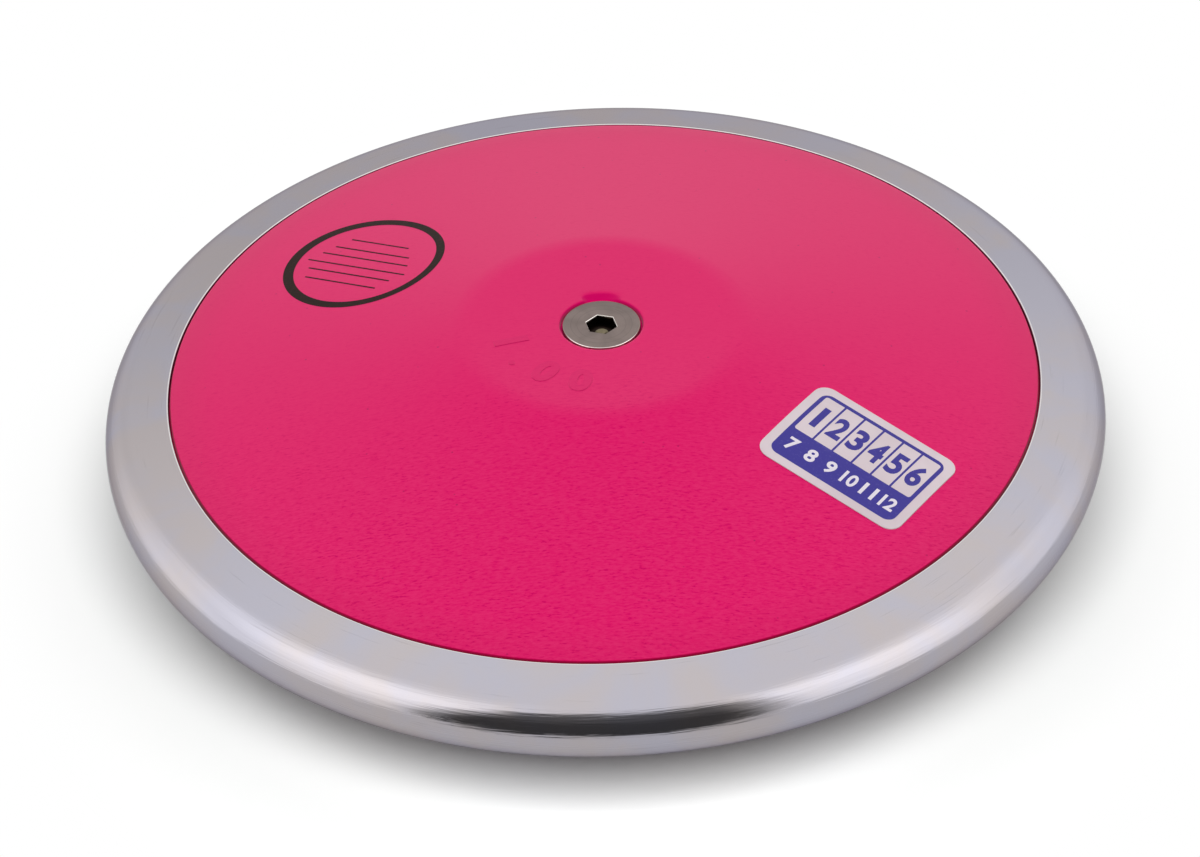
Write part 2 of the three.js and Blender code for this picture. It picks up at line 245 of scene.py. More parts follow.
class TurnedLines(Effect):
    """Fine lines left by turning, which run round the spin axis."""

    NAME = "turned_lines"
    INPUTS = {"Pitch": 0.0005, "Drift": 3.0}
    OUTPUTS = ("Height", "Scratch")
    DEEP = (0.62, 0.7)

    def build(self, graph: Graph, given: dict[Any, Value]) -> dict[str, Value]:
        """Stretches a noise round the axis.

        Args:
            graph: Graph of the group.
            given: Pitch of the lines in metres, and how often a line changes on its way round.

        Returns:
            Height of the lines, and a mask of the few deep ones.
        """
        place = graph.place()
        x, y, z = graph.split(place)
        radius = graph.radius(place)
        pitch, drift = given["Pitch"], given["Drift"]
        where = graph.join(radius / pitch, z / pitch, x / radius * drift)
        noise = graph.noise(where, detail=3.0, roughness=0.6, w=y / radius * drift)
        return {"Height": noise, "Scratch": graph.step(noise, *self.DEEP)}


class FineGrain(Effect):
    """Small even relief, such as the grain of a mould or of a plated skin."""

    NAME = "fine_grain"
    INPUTS = {"Size": 0.0004}
    OUTPUTS = ("Height", "Pores")
    PORE = (0.42, 0.3)

    def build(self, graph: Graph, given: dict[Any, Value]) -> dict[str, Value]:
        """Fine noise for the height, and a mask of its pores."""
        noise = graph.noise(graph.place(), 1.0 / given["Size"], detail=2.5, roughness=0.55)
        return {"Height": noise, "Pores": graph.step(noise, *self.PORE)}


class FlowMarks(Effect):
    """Short faint streaks in one direction, as a moulded skin shows."""

    NAME = "flow_marks"
    INPUTS = {"Length": 0.004, "Width": 0.0006}
    OUTPUTS = ("Tone", "Dashes")
    PALE = (0.35, 0.68)
    DASH = (0.385, 0.33)

    def build(self, graph: Graph, given: dict[Any, Value]) -> dict[str, Value]:
        """Stretches a noise along the first axis.

        Args:
            graph: Graph of the group.
            given: Length and width of a streak in metres.

        Returns:
            Tone from 0 to 1, and a mask of sparse dashes.
        """
        x, y, z = graph.split(graph.place())
        where = graph.join(x / given["Length"], y / given["Width"], z / given["Length"])
        noise = graph.noise(where, roughness=0.6, distortion=0.3)
        return {"Tone": graph.step(noise, *self.PALE), "Dashes": graph.step(noise, *self.DASH)}


class CloudyTone(Effect):
    """Slow change of tone over a surface."""

    NAME = "cloudy_tone"
    INPUTS = {"Size": 0.02, "Sharpness": 0.12}
    OUTPUTS = ("Tone", "Smudge")
    STRONG = (0.66, 0.74)

    def build(self, graph: Graph, given: dict[Any, Value]) -> dict[str, Value]:
        """Warps a noise and spreads it about its middle value.

        Args:
            graph: Graph of the group.
            given: Size of a cloud in metres, and how wide its edge is.

        Returns:
            Tone from 0 to 1, and a mask of the strongest clouds.
        """
        noise = graph.noise(graph.place(), 1.0 / given["Size"], detail=4.0, distortion=0.4)
        tone = graph.step(noise, 0.5 - given["Sharpness"], given["Sharpness"] + 0.5)
        return {"Tone": tone, "Smudge": graph.step(noise, *self.STRONG)}


class SmallPits(Effect):
    """Sparse small round pits or specks."""

    NAME = "small_pits"
    INPUTS = {"Spacing": 0.006, "Size": 0.0002, "Share": 0.3}
    OUTPUTS = ("Mask",)
    SOFT = (0.0, 0.6)

    def build(self, graph: Graph, given: dict[Any, Value]) -> dict[str, Value]:
        """Puts one pit in some of the cells of a random pattern.

        Args:
            graph: Graph of the group.
            given: Spacing and size of the pits in metres, and the share of the cells that have one.

        Returns:
            Mask of the pits.
        """
        cells = graph.add("ShaderNodeTexVoronoi", {"Vector": graph.place(), "Scale": 1.0 / given["Spacing"]})
        far = cells["Distance"] * given["Spacing"] / given["Size"]
        near = graph.step(graph.math("SUBTRACT", 1.0, far, clamp=True), *self.SOFT)
        red = graph.add("ShaderNodeSeparateColor", {0: cells["Color"]})[0]
        return {"Mask": near * graph.math("LESS_THAN", red, given["Share"])}


class RingBand(Effect):
    """Band round the spin axis, for painted highlights along edges and for dark turned rings."""

    NAME = "ring_band"
    INPUTS = {"Radius": 0.05, "Width": 0.001, "Wander": 0.2}
    OUTPUTS = ("Mask",)
    SOFT = (1.0, 0.35)
    WAVES = 220.0

    def build(self, graph: Graph, given: dict[Any, Value]) -> dict[str, Value]:
        """Draws a soft band whose width wanders.

        Args:
            graph: Graph of the group.
            given: Radius and width of the band in metres, and how much its width wanders.

        Returns:
            Mask of the band.
        """
        place = graph.place()
        off = graph.math("ABSOLUTE", graph.radius(place) - given["Radius"])
        shift = (graph.noise(place, self.WAVES) - 0.5) * given["Wander"]
        return {"Mask": graph.step(off / (given["Width"] * (shift + 1.0)), *self.SOFT)}


@dataclass(frozen=True)
class SoftBox:
    """A soft patch of light that polished metal sees."""

    azimuth: float
    elevation: float
    reach: float
    strength: float

    def axis(self) -> Vector:
        """Direction of the patch from the discus."""
        turn, tilt = math.radians(self.azimuth), math.radians(self.elevation)
        return polar(math.cos(tilt), turn, math.sin(tilt))


class StudioGlow(Effect):
    """Brightness of the studio in a direction, as polished metal sees it."""

    NAME = "studio_glow"
    VECTORS = ("Direction",)
    OUTPUTS = ("Level",)
    HORIZON = (0.31, 0.90)
    LEVELS = (0.62, 0.99)
    BOXES = (
        SoftBox(196, 20, 64, 0.49),
        SoftBox(349, 23, 54, 0.28),
        SoftBox(212, 36, 36, 0.27),
        SoftBox(318, 25, 46, 0.54),
        SoftBox(39, -10, 75, 0.30),
        SoftBox(138, -18, 65, 0.23),
    )

    def build(self, graph: Graph, given: dict[Any, Value]) -> dict[str, Value]:
        """Brightens the sky upwards and adds the soft boxes.

        Args:
            graph: Graph of the group.
            given: Direction from the discus.

        Returns:
            The level.
        """
        direction = graph.add("ShaderNodeVectorMath", {0: given["Direction"]}, operation="NORMALIZE")[0]
        level = graph.step(graph.split(direction)[2], *self.HORIZON, *self.LEVELS)
        for box in self.BOXES:
            axes = {0: direction, 1: box.axis()}
            toward = graph.add("ShaderNodeVectorMath", axes, operation="DOT_PRODUCT")[1]
            level = level + graph.step(toward, math.cos(math.radians(box.reach)), 1.0, 0.0, box.strength)
        return {"Level": level}


# Finishes


@dataclass(frozen=True)
class Finish:
    """A material of the discus."""

    name: str

    def material(self) -> bpy.types.Material:
        """Builds the material once.

        Returns:
            The material.
        """
        made = bpy.data.materials.get(self.name)
        if made is None:
            made = bpy.data.materials.new(self.name)
            made.use_nodes = True
            graph = Graph(made.node_tree)
            shader = graph.add("ShaderNodeBsdfPrincipled", self.look(graph))[0]
            graph.add("ShaderNodeOutputMaterial", {"Surface": shader})
        return made

    def look(self, graph: Graph) -> dict[str, Any]:
        """Adds the nodes, and gives a value or an output for each socket of the shader."""
        raise NotImplementedError


@dataclass(frozen=True)
class PlatedSteel(Finish):
    """Bright plated steel of the rim, turned and polished, with a painted highlight on the lip and painted
    shade on the wall of the plate's seat.
    """

    cool: Colour = (0.512, 0.500, 0.572)
    warm: Colour = (0.548, 0.500, 0.505)
    # Painted highlight: a pale colour along the rounded lip at the plate's seat, where it catches the light.
    lip_highlight: Colour = (0.90, 0.86, 0.86)
    pit: Colour = (0.20, 0.19, 0.19)
    # Painted shade: dark red on the seat wall, where the gap beside the plate lies in shade.
    seat_shade: Colour = (0.160, 0.000, 0.030)
    grazed: Colour = (0.52, 0.50, 0.53)
    scratch_share: float = 0.12
    pit_share: float = 0.75
    roughness: float = 0.06
    cloud_roughness: float = 0.03
    line_roughness: float = 0.05
    seat_shade_roughness: float = 0.6
    seat: Span = (78.65 * MM, 78.55 * MM)
    lip_radius: float = 78.71 * MM
    edge: Span = (84.5 * MM, 86.5 * MM)
    taper_relief: float = 0.3
    line_depth: float = 0.055 * MM

    def look(self, graph: Graph) -> dict[str, Any]:
        """Clouded plating with turned lines, pits, a painted highlight on the lip and painted shade on the
        seat wall.

        Args:
            graph: Graph of the material.

        Returns:
            Value or output for the sockets of the Principled shader.
        """
        radius = graph.radius(graph.place())
        tone = CloudyTone().put(graph, size=18 * MM, sharpness=0.16)["Tone"]
        lines = TurnedLines().put(graph, pitch=0.55 * MM, drift=6.0)
        pits = SmallPits().put(graph, spacing=7.5 * MM, size=0.22 * MM, share=0.22)["Mask"]
        # Mask of the lip's painted highlight.
        lip = RingBand().put(graph, radius=self.lip_radius, width=0.16 * MM, wander=0.6)["Mask"]
        # Mask of the seat wall, which is painted with shade and is not metal.
        seat = graph.step(radius, *self.seat)
        cut = graph.step(radius, *self.edge, self.taper_relief, 1.0)
        colour = graph.paint(
            self.cool,
            (tone, self.warm),
            (lines["Scratch"] * self.scratch_share, self.pit),
            (pits * self.pit_share, self.pit),
            (lip, self.lip_highlight),
            (seat, self.seat_shade),
        )
        rough = lines["Height"] * self.line_roughness + (tone * self.cloud_roughness + self.roughness)
        return {
            "Base Color": colour,
            "Metallic": 1.0 - seat,
            "Roughness": seat * self.seat_shade_roughness + rough,
            "Normal": graph.bump(lines["Height"] * cut - pits, self.line_depth),
            "Specular Tint": self.grazed,
        }


@dataclass(frozen=True)
class MouldedPlastic(Finish):
    """Pink moulded plastic of the side plates, with a fine matt grain."""

    body: Colour = (0.724, 0.000, 0.123)
    # Paler streaks of the flow marks, which are partly real marks and partly painted sheen of the grain.
    pale_sheen: Colour = (0.760, 0.014, 0.144)
    dash: Colour = (0.600, 0.000, 0.110)
    speck: Colour = (0.38, 0.002, 0.080)
    # Painted shade: a darker, greyer pink towards the outer edge, next to the rim.
    edge_shade: Colour = (0.42, 0.030, 0.075)
    # Painted shade: a deeper pink on the sunk face round the counterbore and down its walls.
    sunk_shade: Colour = (0.62, 0.000, 0.112)
    # Painted shade: dark red on the plate's rounded edge, down in the groove by the rim.
    groove_shade: Colour = (0.42, 0.000, 0.050)
    bounce: Colour = (0.20, 0.17, 0.18)
    even_share: float = 0.3
    speck_share: float = 0.6
    edge_shade_share: float = 0.12
    sunk_shade_share: float = 0.85
    sheen: float = 0.15
    sheen_roughness: float = 0.5
    ior: float = 1.20
    roughness: float = 0.44
    smoothest: float = 0.36
    roughness_spread: float = 0.16
    grain_depth: float = 0.04 * MM
    edge: Span = (69 * MM, 78.2 * MM)
    groove_edge: Span = (77.98 * MM, 78.18 * MM)
    sunk_radius: float = 10.5 * MM
    sunk_height: Span = (18.98 * MM, 18.86 * MM)
    # The paler streaks and the dashes are stronger towards the front (-Y).
    front_bias: Span = (10 * MM, -55 * MM)
    front_bias_least: float = 0.2

    def look(self, graph: Graph) -> dict[str, Any]:
        """Grain, flow marks whose paler streaks are partly painted sheen, specks, and painted shade: a darker
        outer edge, the rounding in the rim's groove and the sunk face round the counterbore.

        Args:
            graph: Graph of the material.

        Returns:
            Value or output for the sockets of the Principled shader.
        """
        place = graph.place()
        radius = graph.radius(place)
        _, y, z = graph.split(place)
        grain = FineGrain().put(graph, size=0.65 * MM)["Height"]
        flow = FlowMarks().put(graph, length=1.1 * MM, width=0.34 * MM)
        patches = CloudyTone().put(graph, size=12 * MM, sharpness=0.25)["Tone"]
        specks = SmallPits().put(graph, spacing=3 * MM, size=0.26 * MM, share=0.3)["Mask"]
        front_bias = graph.step(y, *self.front_bias, self.front_bias_least, 1.0)
        dashes = flow["Dashes"] * (front_bias * (patches * (1 - self.even_share) + self.even_share))
        # Mask of the painted shade on the rounded edge in the groove, which also takes the coat off.
        groove_shade = graph.step(radius, *self.groove_edge)
        # Mask of the painted shade on the sunk face, near the top and round the counterbore.
        low = graph.step(graph.math("ABSOLUTE", z), *self.sunk_height)
        low = low * graph.math("LESS_THAN", radius, self.sunk_radius)
        colour = graph.paint(
            self.body,
            # Paler flow streaks, partly painted sheen, stronger towards the front.
            (flow["Tone"] * front_bias, self.pale_sheen),
            (dashes, self.dash),
            (specks * self.speck_share, self.speck),
            # Painted shade towards the outer edge.
            (graph.step(radius, *self.edge, 0.0, self.edge_shade_share), self.edge_shade),
            (groove_shade, self.groove_shade),
            (low * self.sunk_shade_share, self.sunk_shade),
            (graph.add("ShaderNodeLightPath")["Is Diffuse Ray"], self.bounce),
        )
        dull = graph.math("MAXIMUM", graph.math("MAXIMUM", dashes, groove_shade), low)
        return {
            "Base Color": colour,
            "Roughness": grain * self.roughness_spread + self.smoothest,
            "Normal": graph.bump(grain, self.grain_depth),
            "Coat Weight": 1.0 - dull,
            "Coat IOR": self.ior,
            "Coat Roughness": self.roughness,
            "Sheen Weight": self.sheen,
            "Sheen Roughness": self.sheen_roughness,
            "Specular IOR Level": 0.0,
        }


@dataclass(frozen=True)
class TurnedSteel(Finish):
    """Satin steel of a fastener's faced head, with the rings of the facing cut, a painted highlight on its
    outer edge and a socket darkened as painted shade.
    """

    body: Colour = (0.283, 0.226, 0.209)
    dark: Colour = (0.172, 0.139, 0.127)
    # Painted highlight on the head's outer edge: the first colour towards the front, the second at the sides
    # and back.
    bright: Colour = (1.00, 0.92, 0.89)
    rim_light: Colour = (0.40, 0.34, 0.29)
    # Painted shade: near black for the hex socket, which lies in shade.
    socket: Colour = (0.022, 0.014, 0.012)
    # Dark tan for the drilled tip, lighter than the socket's painted shade.
    tip: Colour = (0.190, 0.160, 0.105)
    cloud_share: float = 0.5
    scratch_share: float = 0.4
    ring_share: float = 0.4
    edge_radius: float = 6.95 * MM
    inner_ring: float = 4.4 * MM
    outer_ring: float = 5.5 * MM
    ring_width: float = 0.09 * MM
    lit: Span = (-2.2 * MM, -5.0 * MM)
    socket_radius: float = 3.1 * MM
    socket_height: Span = (18.65 * MM, 18.25 * MM)
    tip_height: Span = (16.93 * MM, 16.88 * MM)
    smoothest: float = 0.28
    roughness_spread: float = 0.1
    grain_share: float = 0.5
    relief_depth: float = 0.004 * MM

    def look(self, graph: Graph) -> dict[str, Any]:
        """Facing rings, grain, a painted highlight on the outer edge that is brightest towards the front, and
        painted shade in the socket, less dark at the drilled tip.

        Args:
            graph: Graph of the material.

        Returns:
            Value or output for the sockets of the Principled shader.
        """
        place = graph.place()
        _, y, z = graph.split(place)
        height = graph.math("ABSOLUTE", z)
        lines = TurnedLines().put(graph, pitch=0.45 * MM, drift=0.9)
        tone = CloudyTone().put(graph, size=4 * MM, sharpness=0.2)["Tone"]
        grain = FineGrain().put(graph, size=0.25 * MM)["Height"]
        edge = RingBand().put(graph, radius=self.edge_radius, width=0.13 * MM, wander=0.6)["Mask"]
        inner, outer = (
            RingBand().put(graph, radius=ring, width=self.ring_width, wander=0.8)["Mask"]
            for ring in (self.inner_ring, self.outer_ring)
        )
        # Painted highlight for the outer edge, brighter towards the front (-Y).
        edge_highlight = graph.paint(self.rim_light, (graph.step(y, *self.lit), self.bright))
        # Mask of the socket's painted shade, below the head's face inside the hex.
        inside = graph.math("LESS_THAN", graph.radius(place), self.socket_radius)
        sunk_shade = graph.step(height, *self.socket_height) * inside
        colour = graph.paint(
            self.body,
            (tone * self.cloud_share, self.dark),
            (lines["Scratch"] * self.scratch_share, self.dark),
            ((inner + outer) * self.ring_share, self.dark),
            (edge, edge_highlight),
            (sunk_shade, self.socket),
            (sunk_shade * graph.step(height, *self.tip_height), self.tip),
        )
        return {
            "Base Color": colour,
            "Metallic": 1.0,
            "Roughness": lines["Height"] * self.roughness_spread + self.smoothest,
            "Normal": graph.bump(grain * self.grain_share + lines["Height"], self.relief_depth),
        }


@dataclass(frozen=True)
class Clouded(Finish):
    """Plain colour that clouds into a second one, over a fine relief."""

    body: Colour
    cloud: Colour
    share: float = 1.0
    cloud_size: float = 4 * MM
    cloud_edge: float = 0.15
    grain_size: float = 0.5 * MM
    depth: float = 0.004 * MM
    smoothest: float = 0.42
    roughness_spread: float = 0.15
    metallic: float = 0.0
    shine: float = 0.5

    def relief(self, graph: Graph) -> Value:
        """Height of the fine relief."""
        return FineGrain().put(graph, size=self.grain_size)["Height"]

    def clouds(self, graph: Graph) -> Value:
        """Mask of the second colour."""
        return CloudyTone().put(graph, size=self.cloud_size, sharpness=self.cloud_edge)["Tone"]

    def look(self, graph: Graph) -> dict[str, Any]:
        """Two clouded colours over the relief.

        Args:
            graph: Graph of the material.

        Returns:
            Value or output for the sockets of the Principled shader.
        """
        relief = self.relief(graph)
        return {
            "Base Color": graph.paint(self.body, (self.clouds(graph) * self.share, self.cloud)),
            "Metallic": self.metallic,
            "Roughness": relief * self.roughness_spread + self.smoothest,
            "Normal": graph.bump(relief, self.depth),
            "Specular IOR Level": self.shine,
        }


@dataclass(frozen=True)
class PlainSteel(Clouded):
    """Rolled or sawn steel with a thin oily film."""

    share: float = 0.6
    cloud_size: float = 6 * MM
    cloud_edge: float = 0.1
    depth: float = 0.006 * MM
    smoothest: float = 0.35
    roughness_spread: float = 0.2
    metallic: float = 1.0

    def relief(self, graph: Graph) -> Value:
        """Height of the cutting lines."""
        return TurnedLines().put(graph, pitch=0.4 * MM, drift=1.5)["Height"]


@dataclass(frozen=True)
class Ink(Clouded):
    """Printing ink that lets the ground show a little where it is thin."""

    share: float = 0.3
    shine: float = 0.25

    def clouds(self, graph: Graph) -> Value:
        """Finds the thin places of the ink.

        Args:
            graph: Graph of the material.

        Returns:
            Mask of the second colour.
        """
        pores = FineGrain().put(graph, size=self.grain_size)["Pores"]
        smudge = CloudyTone().put(graph, size=self.cloud_size, sharpness=self.cloud_edge)["Smudge"]
        return graph.math("MAXIMUM", pores, smudge)


@dataclass(frozen=True)
class FinishSet:
    """All finishes of the discus."""

    rim: Finish = PlatedSteel("plated_rim_steel")
    plate: Finish = MouldedPlastic("pink_moulded_plastic")
    marks: Finish = MouldedPlastic("pink_moulded_marks", (0.690, 0.000, 0.119), (0.715, 0.010, 0.132))
    head: Finish = TurnedSteel("faced_head_steel")
    burr: Finish = PlainSteel("bright_burr_steel", (0.86, 0.80, 0.76), (0.60, 0.55, 0.50), smoothest=0.2)
    washer: Finish = PlainSteel("washer_steel", (0.40, 0.39, 0.38), (0.26, 0.24, 0.22))
    spring: Finish = PlainSteel("dark_spring_steel", (0.12, 0.125, 0.14), (0.07, 0.06, 0.055))
    core: Finish = PlainSteel("core_steel", (0.27, 0.28, 0.29), (0.16, 0.14, 0.12))
    rubber: Finish = Clouded(
        "gasket_rubber",
        (0.020, 0.020, 0.022),
        (0.060, 0.058, 0.056),
        cloud_size=8 * MM,
        grain_size=0.3 * MM,
        depth=0.02 * MM,
        smoothest=0.72,
        roughness_spread=0.2,
    )
    vinyl: Finish = Clouded(
        "sticker_film",
        (0.700, 0.600, 0.640),
        (0.640, 0.535, 0.575),
        cloud_size=10 * MM,
        cloud_edge=0.2,
        grain_size=0.9 * MM,
        depth=0.003 * MM,
        smoothest=0.36,
        roughness_spread=0.1,
    )
    navy: Finish = Ink("navy_ink", (0.046, 0.036, 0.270), (0.105, 0.095, 0.340))
    white: Finish = Ink("white_ink", (0.78, 0.72, 0.80), (0.60, 0.55, 0.70))
    black: Finish = Ink("black_ink", (0.013, 0.005, 0.003), (0.060, 0.004, 0.014), share=0.4, shine=0.12)


# Shape building


class Face(Enum):
    """Which of the two faces of the discus a piece belongs to."""

    UPPER = "upper"
    LOWER = "lower"

    def turn(self) -> Matrix:
        """Matrix that takes the upper face's place to this face."""
        return Matrix.Identity(4) if self is Face.UPPER else Matrix.Rotation(math.pi, 4, "X")


def polar(radius: float, angle: float, height: float = 0.0) -> Vector:
    """Place at a radius, an angle in radians round the spin axis and a height."""
    return Vector((radius * math.cos(angle), radius * math.sin(angle), height))


def smooth(data: bpy.types.Mesh, sharp: float = 32.0) -> None:
    """Shades a mesh smooth, apart from edges bent by more than some degrees."""
    data.shade_smooth()
    data.set_sharp_from_angle(angle=math.radians(sharp))


def arc(centre: Point, radius: float, start: float, end: float, steps: int) -> list[Point]:
    """Points of an arc about a centre, with both ends, from one angle in radians to another."""
    angles = [start + (end - start) * step / steps for step in range(steps + 1)]
    return [(centre[0] + radius * math.cos(a), centre[1] + radius * math.sin(a)) for a in angles]


def spread(start: Point, end: Point, count: int) -> list[Point]:
    """Evenly spread points between two points, without the two ends."""
    shares = [(step + 1) / (count + 1) for step in range(count)]
    return [(start[0] + (end[0] - start[0]) * t, start[1] + (end[1] - start[1]) * t) for t in shares]


def circle(radius: float, height: float, count: int, start: float = 0.0) -> list[Vector]:
    """Level ring of points round the spin axis, or one point where the radius is 0."""
    steps = range(count if radius > 0 else 1)
    return [polar(radius, start + 2 * math.pi * step / count, height) for step in steps]


class Workpiece:
    """A mesh under construction, made of one or more closed shells."""

    def __init__(self) -> None:
        """Starts empty."""
        self.mesh = bmesh.new()

    def loft(self, rings: Sequence[Sequence[Vector]], closed: bool = False, accent: int = -1) -> None:
        """Joins rings of points with faces.

        Args:
            rings: Rings in order, each with the same number of points or with one point.
            closed: Also join the last ring to the first.
            accent: Number of the ring after which the faces take the second finish.
        """
        made = [[self.mesh.verts.new(spot) for spot in ring] for ring in rings]
        pairs = list(zip(made, made[1:])) + ([(made[-1], made[0])] if closed else [])
        for row, (low, high) in enumerate(pairs):
            count = max(len(low), len(high))
            for step in range(count if count > 1 else 0):
                after = (step + 1) % count
                corners = [low[step % len(low)], low[after % len(low)]]
                corners += [high[after % len(high)], high[step % len(high)]]
                face = self.mesh.faces.new(list(dict.fromkeys(corners)))
                face.material_index = int(row == accent)

    def revolve(self, section: Sequence[Point], count: int) -> None:
        """Turns a closed section of radius and height round the spin axis."""
        self.loft([circle(radius, height, count) for radius, height in section], closed=True)

    def slab(self, corners: Sequence[Vector], thickness: Vector) -> None:
        """Prism from a flat outline.

        Args:
            corners: Outline of one side.
            thickness: Offset of the other side.
        """
        near = [self.mesh.verts.new(corner) for corner in corners]
        far = [self.mesh.verts.new(corner + thickness) for corner in corners]
        self.mesh.faces.new(near)
        self.mesh.faces.new(far[::-1])
        for step in range(len(near)):
            after = (step + 1) % len(near)
            self.mesh.faces.new([near[step], far[step], far[after], near[after]])

    def sheet(self, shape: Shape, top: Placer, bottom: Placer) -> None:
        """Thin closed sheet from a flat plan, laid on a surface.

        Args:
            shape: Plan as points, and faces as indices of the points.
            top: Place of a plan point on the sheet's upper side.
            bottom: Place of a plan point on its underside.
        """
        spots, faces = shape
        upper = [self.mesh.verts.new(top(*spot)) for spot in spots]
        lower = [self.mesh.verts.new(bottom(*spot)) for spot in spots]
        directed = {(face[step], face[(step + 1) % len(face)]) for face in faces for step in range(len(face))}
        for face in faces:
            self.mesh.faces.new([upper[index] for index in face])
            self.mesh.faces.new([lower[index] for index in reversed(face)])
        for first, second in sorted(directed):
            if (second, first) not in directed:
                self.mesh.faces.new([upper[second], upper[first], lower[first], lower[second]])

    def turn(self, matrix: Matrix) -> None:
        """Moves the whole mesh by a matrix."""
        self.mesh.transform(matrix)

    def piece(self, name: str, *finishes: Finish, sharp: float = 32.0) -> bpy.types.Object:
        """Makes the object.

        Args:
            name: Name of the object.
            finishes: Its finish, and a second one for accents where it has them.
            sharp: Edges bent by more than this many degrees stay sharp.

        Returns:
            The object, in the scene.
        """
        lone = [vert for vert in self.mesh.verts if not vert.link_faces]
        bmesh.ops.delete(self.mesh, geom=lone, context="VERTS")
        bmesh.ops.recalc_face_normals(self.mesh, faces=self.mesh.faces)
        data = bpy.data.meshes.new(name)
        self.mesh.to_mesh(data)
        self.mesh.free()
        for finish in finishes:
            data.materials.append(finish.material())
        smooth(data, sharp)
        made = bpy.data.objects.new(name, data)
        bpy.context.scene.collection.objects.link(made)
        return made


@dataclass(frozen=True)
class DrivePins:
    """Where the drive pins stand, for their holes, bosses and sockets."""

    count: int = 4
    centre_radius: float = 73.5 * MM
    radius: float = 1.7 * MM
    segments: int = 24

    def add(self, piece: Workpiece, section: Sequence[Point]) -> None:
        """Adds one turned shape at each pin.

        Args:
            piece: Mesh that gets the shapes.
            section: Radius and height of its points, from the pin's axis and back to it.
        """
        for pin in range(self.count):
            centre = polar(self.centre_radius, math.pi / 4 + pin * 2 * math.pi / self.count)
            rings = [circle(radius, height, self.segments) for radius, height in section]
            piece.loft([[spot + centre for spot in ring] for ring in rings])


@dataclass(frozen=True)
class Plan:
    """Flat shapes of print and film, before they are laid on the plate."""

    fineness: float = 1.4 * MM
    corner_steps: int = 6
    font_steps: int = 4
    tolerance: float = 1e-7

    def rounded(self, length: float, width: float, corner: float, centre: Point = (0.0, 0.0)) -> list[Point]:
        """Outline of a rectangle with round corners.

        Args:
            length: Size along the first axis.
            width: Size along the second axis.
            corner: Corner radius.
            centre: Centre of the rectangle.

        Returns:
            Outline points, no further apart than the fineness.
        """
        x, y = length / 2 - corner, width / 2 - corner
        quarters = [((x, -y), -90.0), ((x, y), 0.0), ((-x, y), 90.0), ((-x, -y), 180.0)]
        outline: list[Point] = []
        for place, first in quarters:
            start = math.radians(first)
            outline += arc(place, corner, start, start + math.pi / 2, self.corner_steps)
        closed = list(zip(outline, outline[1:] + outline[:1]))
        dense: list[Point] = []
        for start_point, end_point in closed:
            gaps = max(1, math.ceil(math.dist(start_point, end_point) / self.fineness))
            dense += [start_point, *spread(start_point, end_point, gaps - 1)]
        return [(u + centre[0], v + centre[1]) for u, v in dense]

    def round(self, radius: float, centre: Point = (0.0, 0.0), count: int = 120) -> list[Point]:
        """Outline of a circle."""
        return arc(centre, radius, 0.0, 2 * math.pi * (1 - 1 / count), count - 1)

    @staticmethod
    def inside(spot: Point, loops: Sequence[Sequence[Point]]) -> bool:
        """Tells whether a point lies in a shape with holes.

        Args:
            spot: The point.
            loops: Outer outlines and holes together.

        Returns:
            True where an odd number of outlines hold the point.
        """
        crossings = 0
        for loop in loops:
            for (x0, y0), (x1, y1) in zip(loop, [*loop[1:], loop[0]]):
                if (y0 > spot[1]) != (y1 > spot[1]):
                    crossings += spot[0] < x0 + (spot[1] - y0) * (x1 - x0) / (y1 - y0)
        return crossings % 2 == 1

    def fill(self, loops: Sequence[Sequence[Point]]) -> Shape:
        """Triangles between outlines.

        Args:
            loops: Outer outlines and holes together.

        Returns:
            Points and triangles.
        """
        spots = [spot for loop in loops for spot in loop]
        edges: list[tuple[int, int]] = []
        for loop in loops:
            first = len(edges)
            edges += [(first + step, first + (step + 1) % len(loop)) for step in range(len(loop))]
        low = [min(spot[axis] for spot in spots) for axis in (0, 1)]
        high = [max(spot[axis] for spot in spots) for axis in (0, 1)]
        columns = int((high[0] - low[0]) / self.fineness)
        rows = int((high[1] - low[1]) / self.fineness)
        for column in range(1, columns):
            for row in range(1, rows):
                spot = (low[0] + column * self.fineness, low[1] + row * self.fineness)
                if self.inside(spot, loops):
                    spots.append(spot)
        result = delaunay_2d_cdt([Vector(spot) for spot in spots], edges, [], 0, self.tolerance)
        points = [(spot.x, spot.y) for spot in result[0]]
        kept = []
        for face in result[2]:
            middle = tuple(sum(points[index][axis] for index in face) / len(face) for axis in (0, 1))
            if self.inside(middle, loops):
                kept.append(tuple(face))
        return points, kept

    def digits(self, text: str, height: float, centre: Point, widest: float, weight: float) -> Shape:
        """Plan of a number.

        Args:
            text: Digits.
            height: Height of the digits.
            centre: Centre of the number.
            widest: Greatest width, to which a wider number is narrowed.
            weight: Thickening of the strokes, as a share of the font size.

        Returns:
            Points and faces.
        """
        curve = bpy.data.curves.new("digits_plan", "FONT")
        curve.body = text
        curve.size = 1.0
        curve.offset = weight
        curve.resolution_u = self.font_steps
        carrier = bpy.data.objects.new("digits_plan", curve)
        bpy.context.scene.collection.objects.link(carrier)
        depsgraph = bpy.context.evaluated_depsgraph_get()
        shape = bpy.data.meshes.new_from_object(carrier.evaluated_get(depsgraph))
        spots = [(vert.co.x, vert.co.y) for vert in shape.vertices]
        faces = [tuple(face.vertices) for face in shape.polygons]
        bpy.data.objects.remove(carrier)
        bpy.data.curves.remove(curve)
        bpy.data.meshes.remove(shape)
        xs, ys = [spot[0] for spot in spots], [spot[1] for spot in spots]
        scale = height / (max(ys) - min(ys))
        across = scale * min(1.0, widest / ((max(xs) - min(xs)) * scale))
        left = centre[0] - (min(xs) + max(xs)) / 2 * across
        foot = centre[1] - (min(ys) + max(ys)) / 2 * scale
        return [(left + x * across, foot + y * scale) for x, y in spots], faces


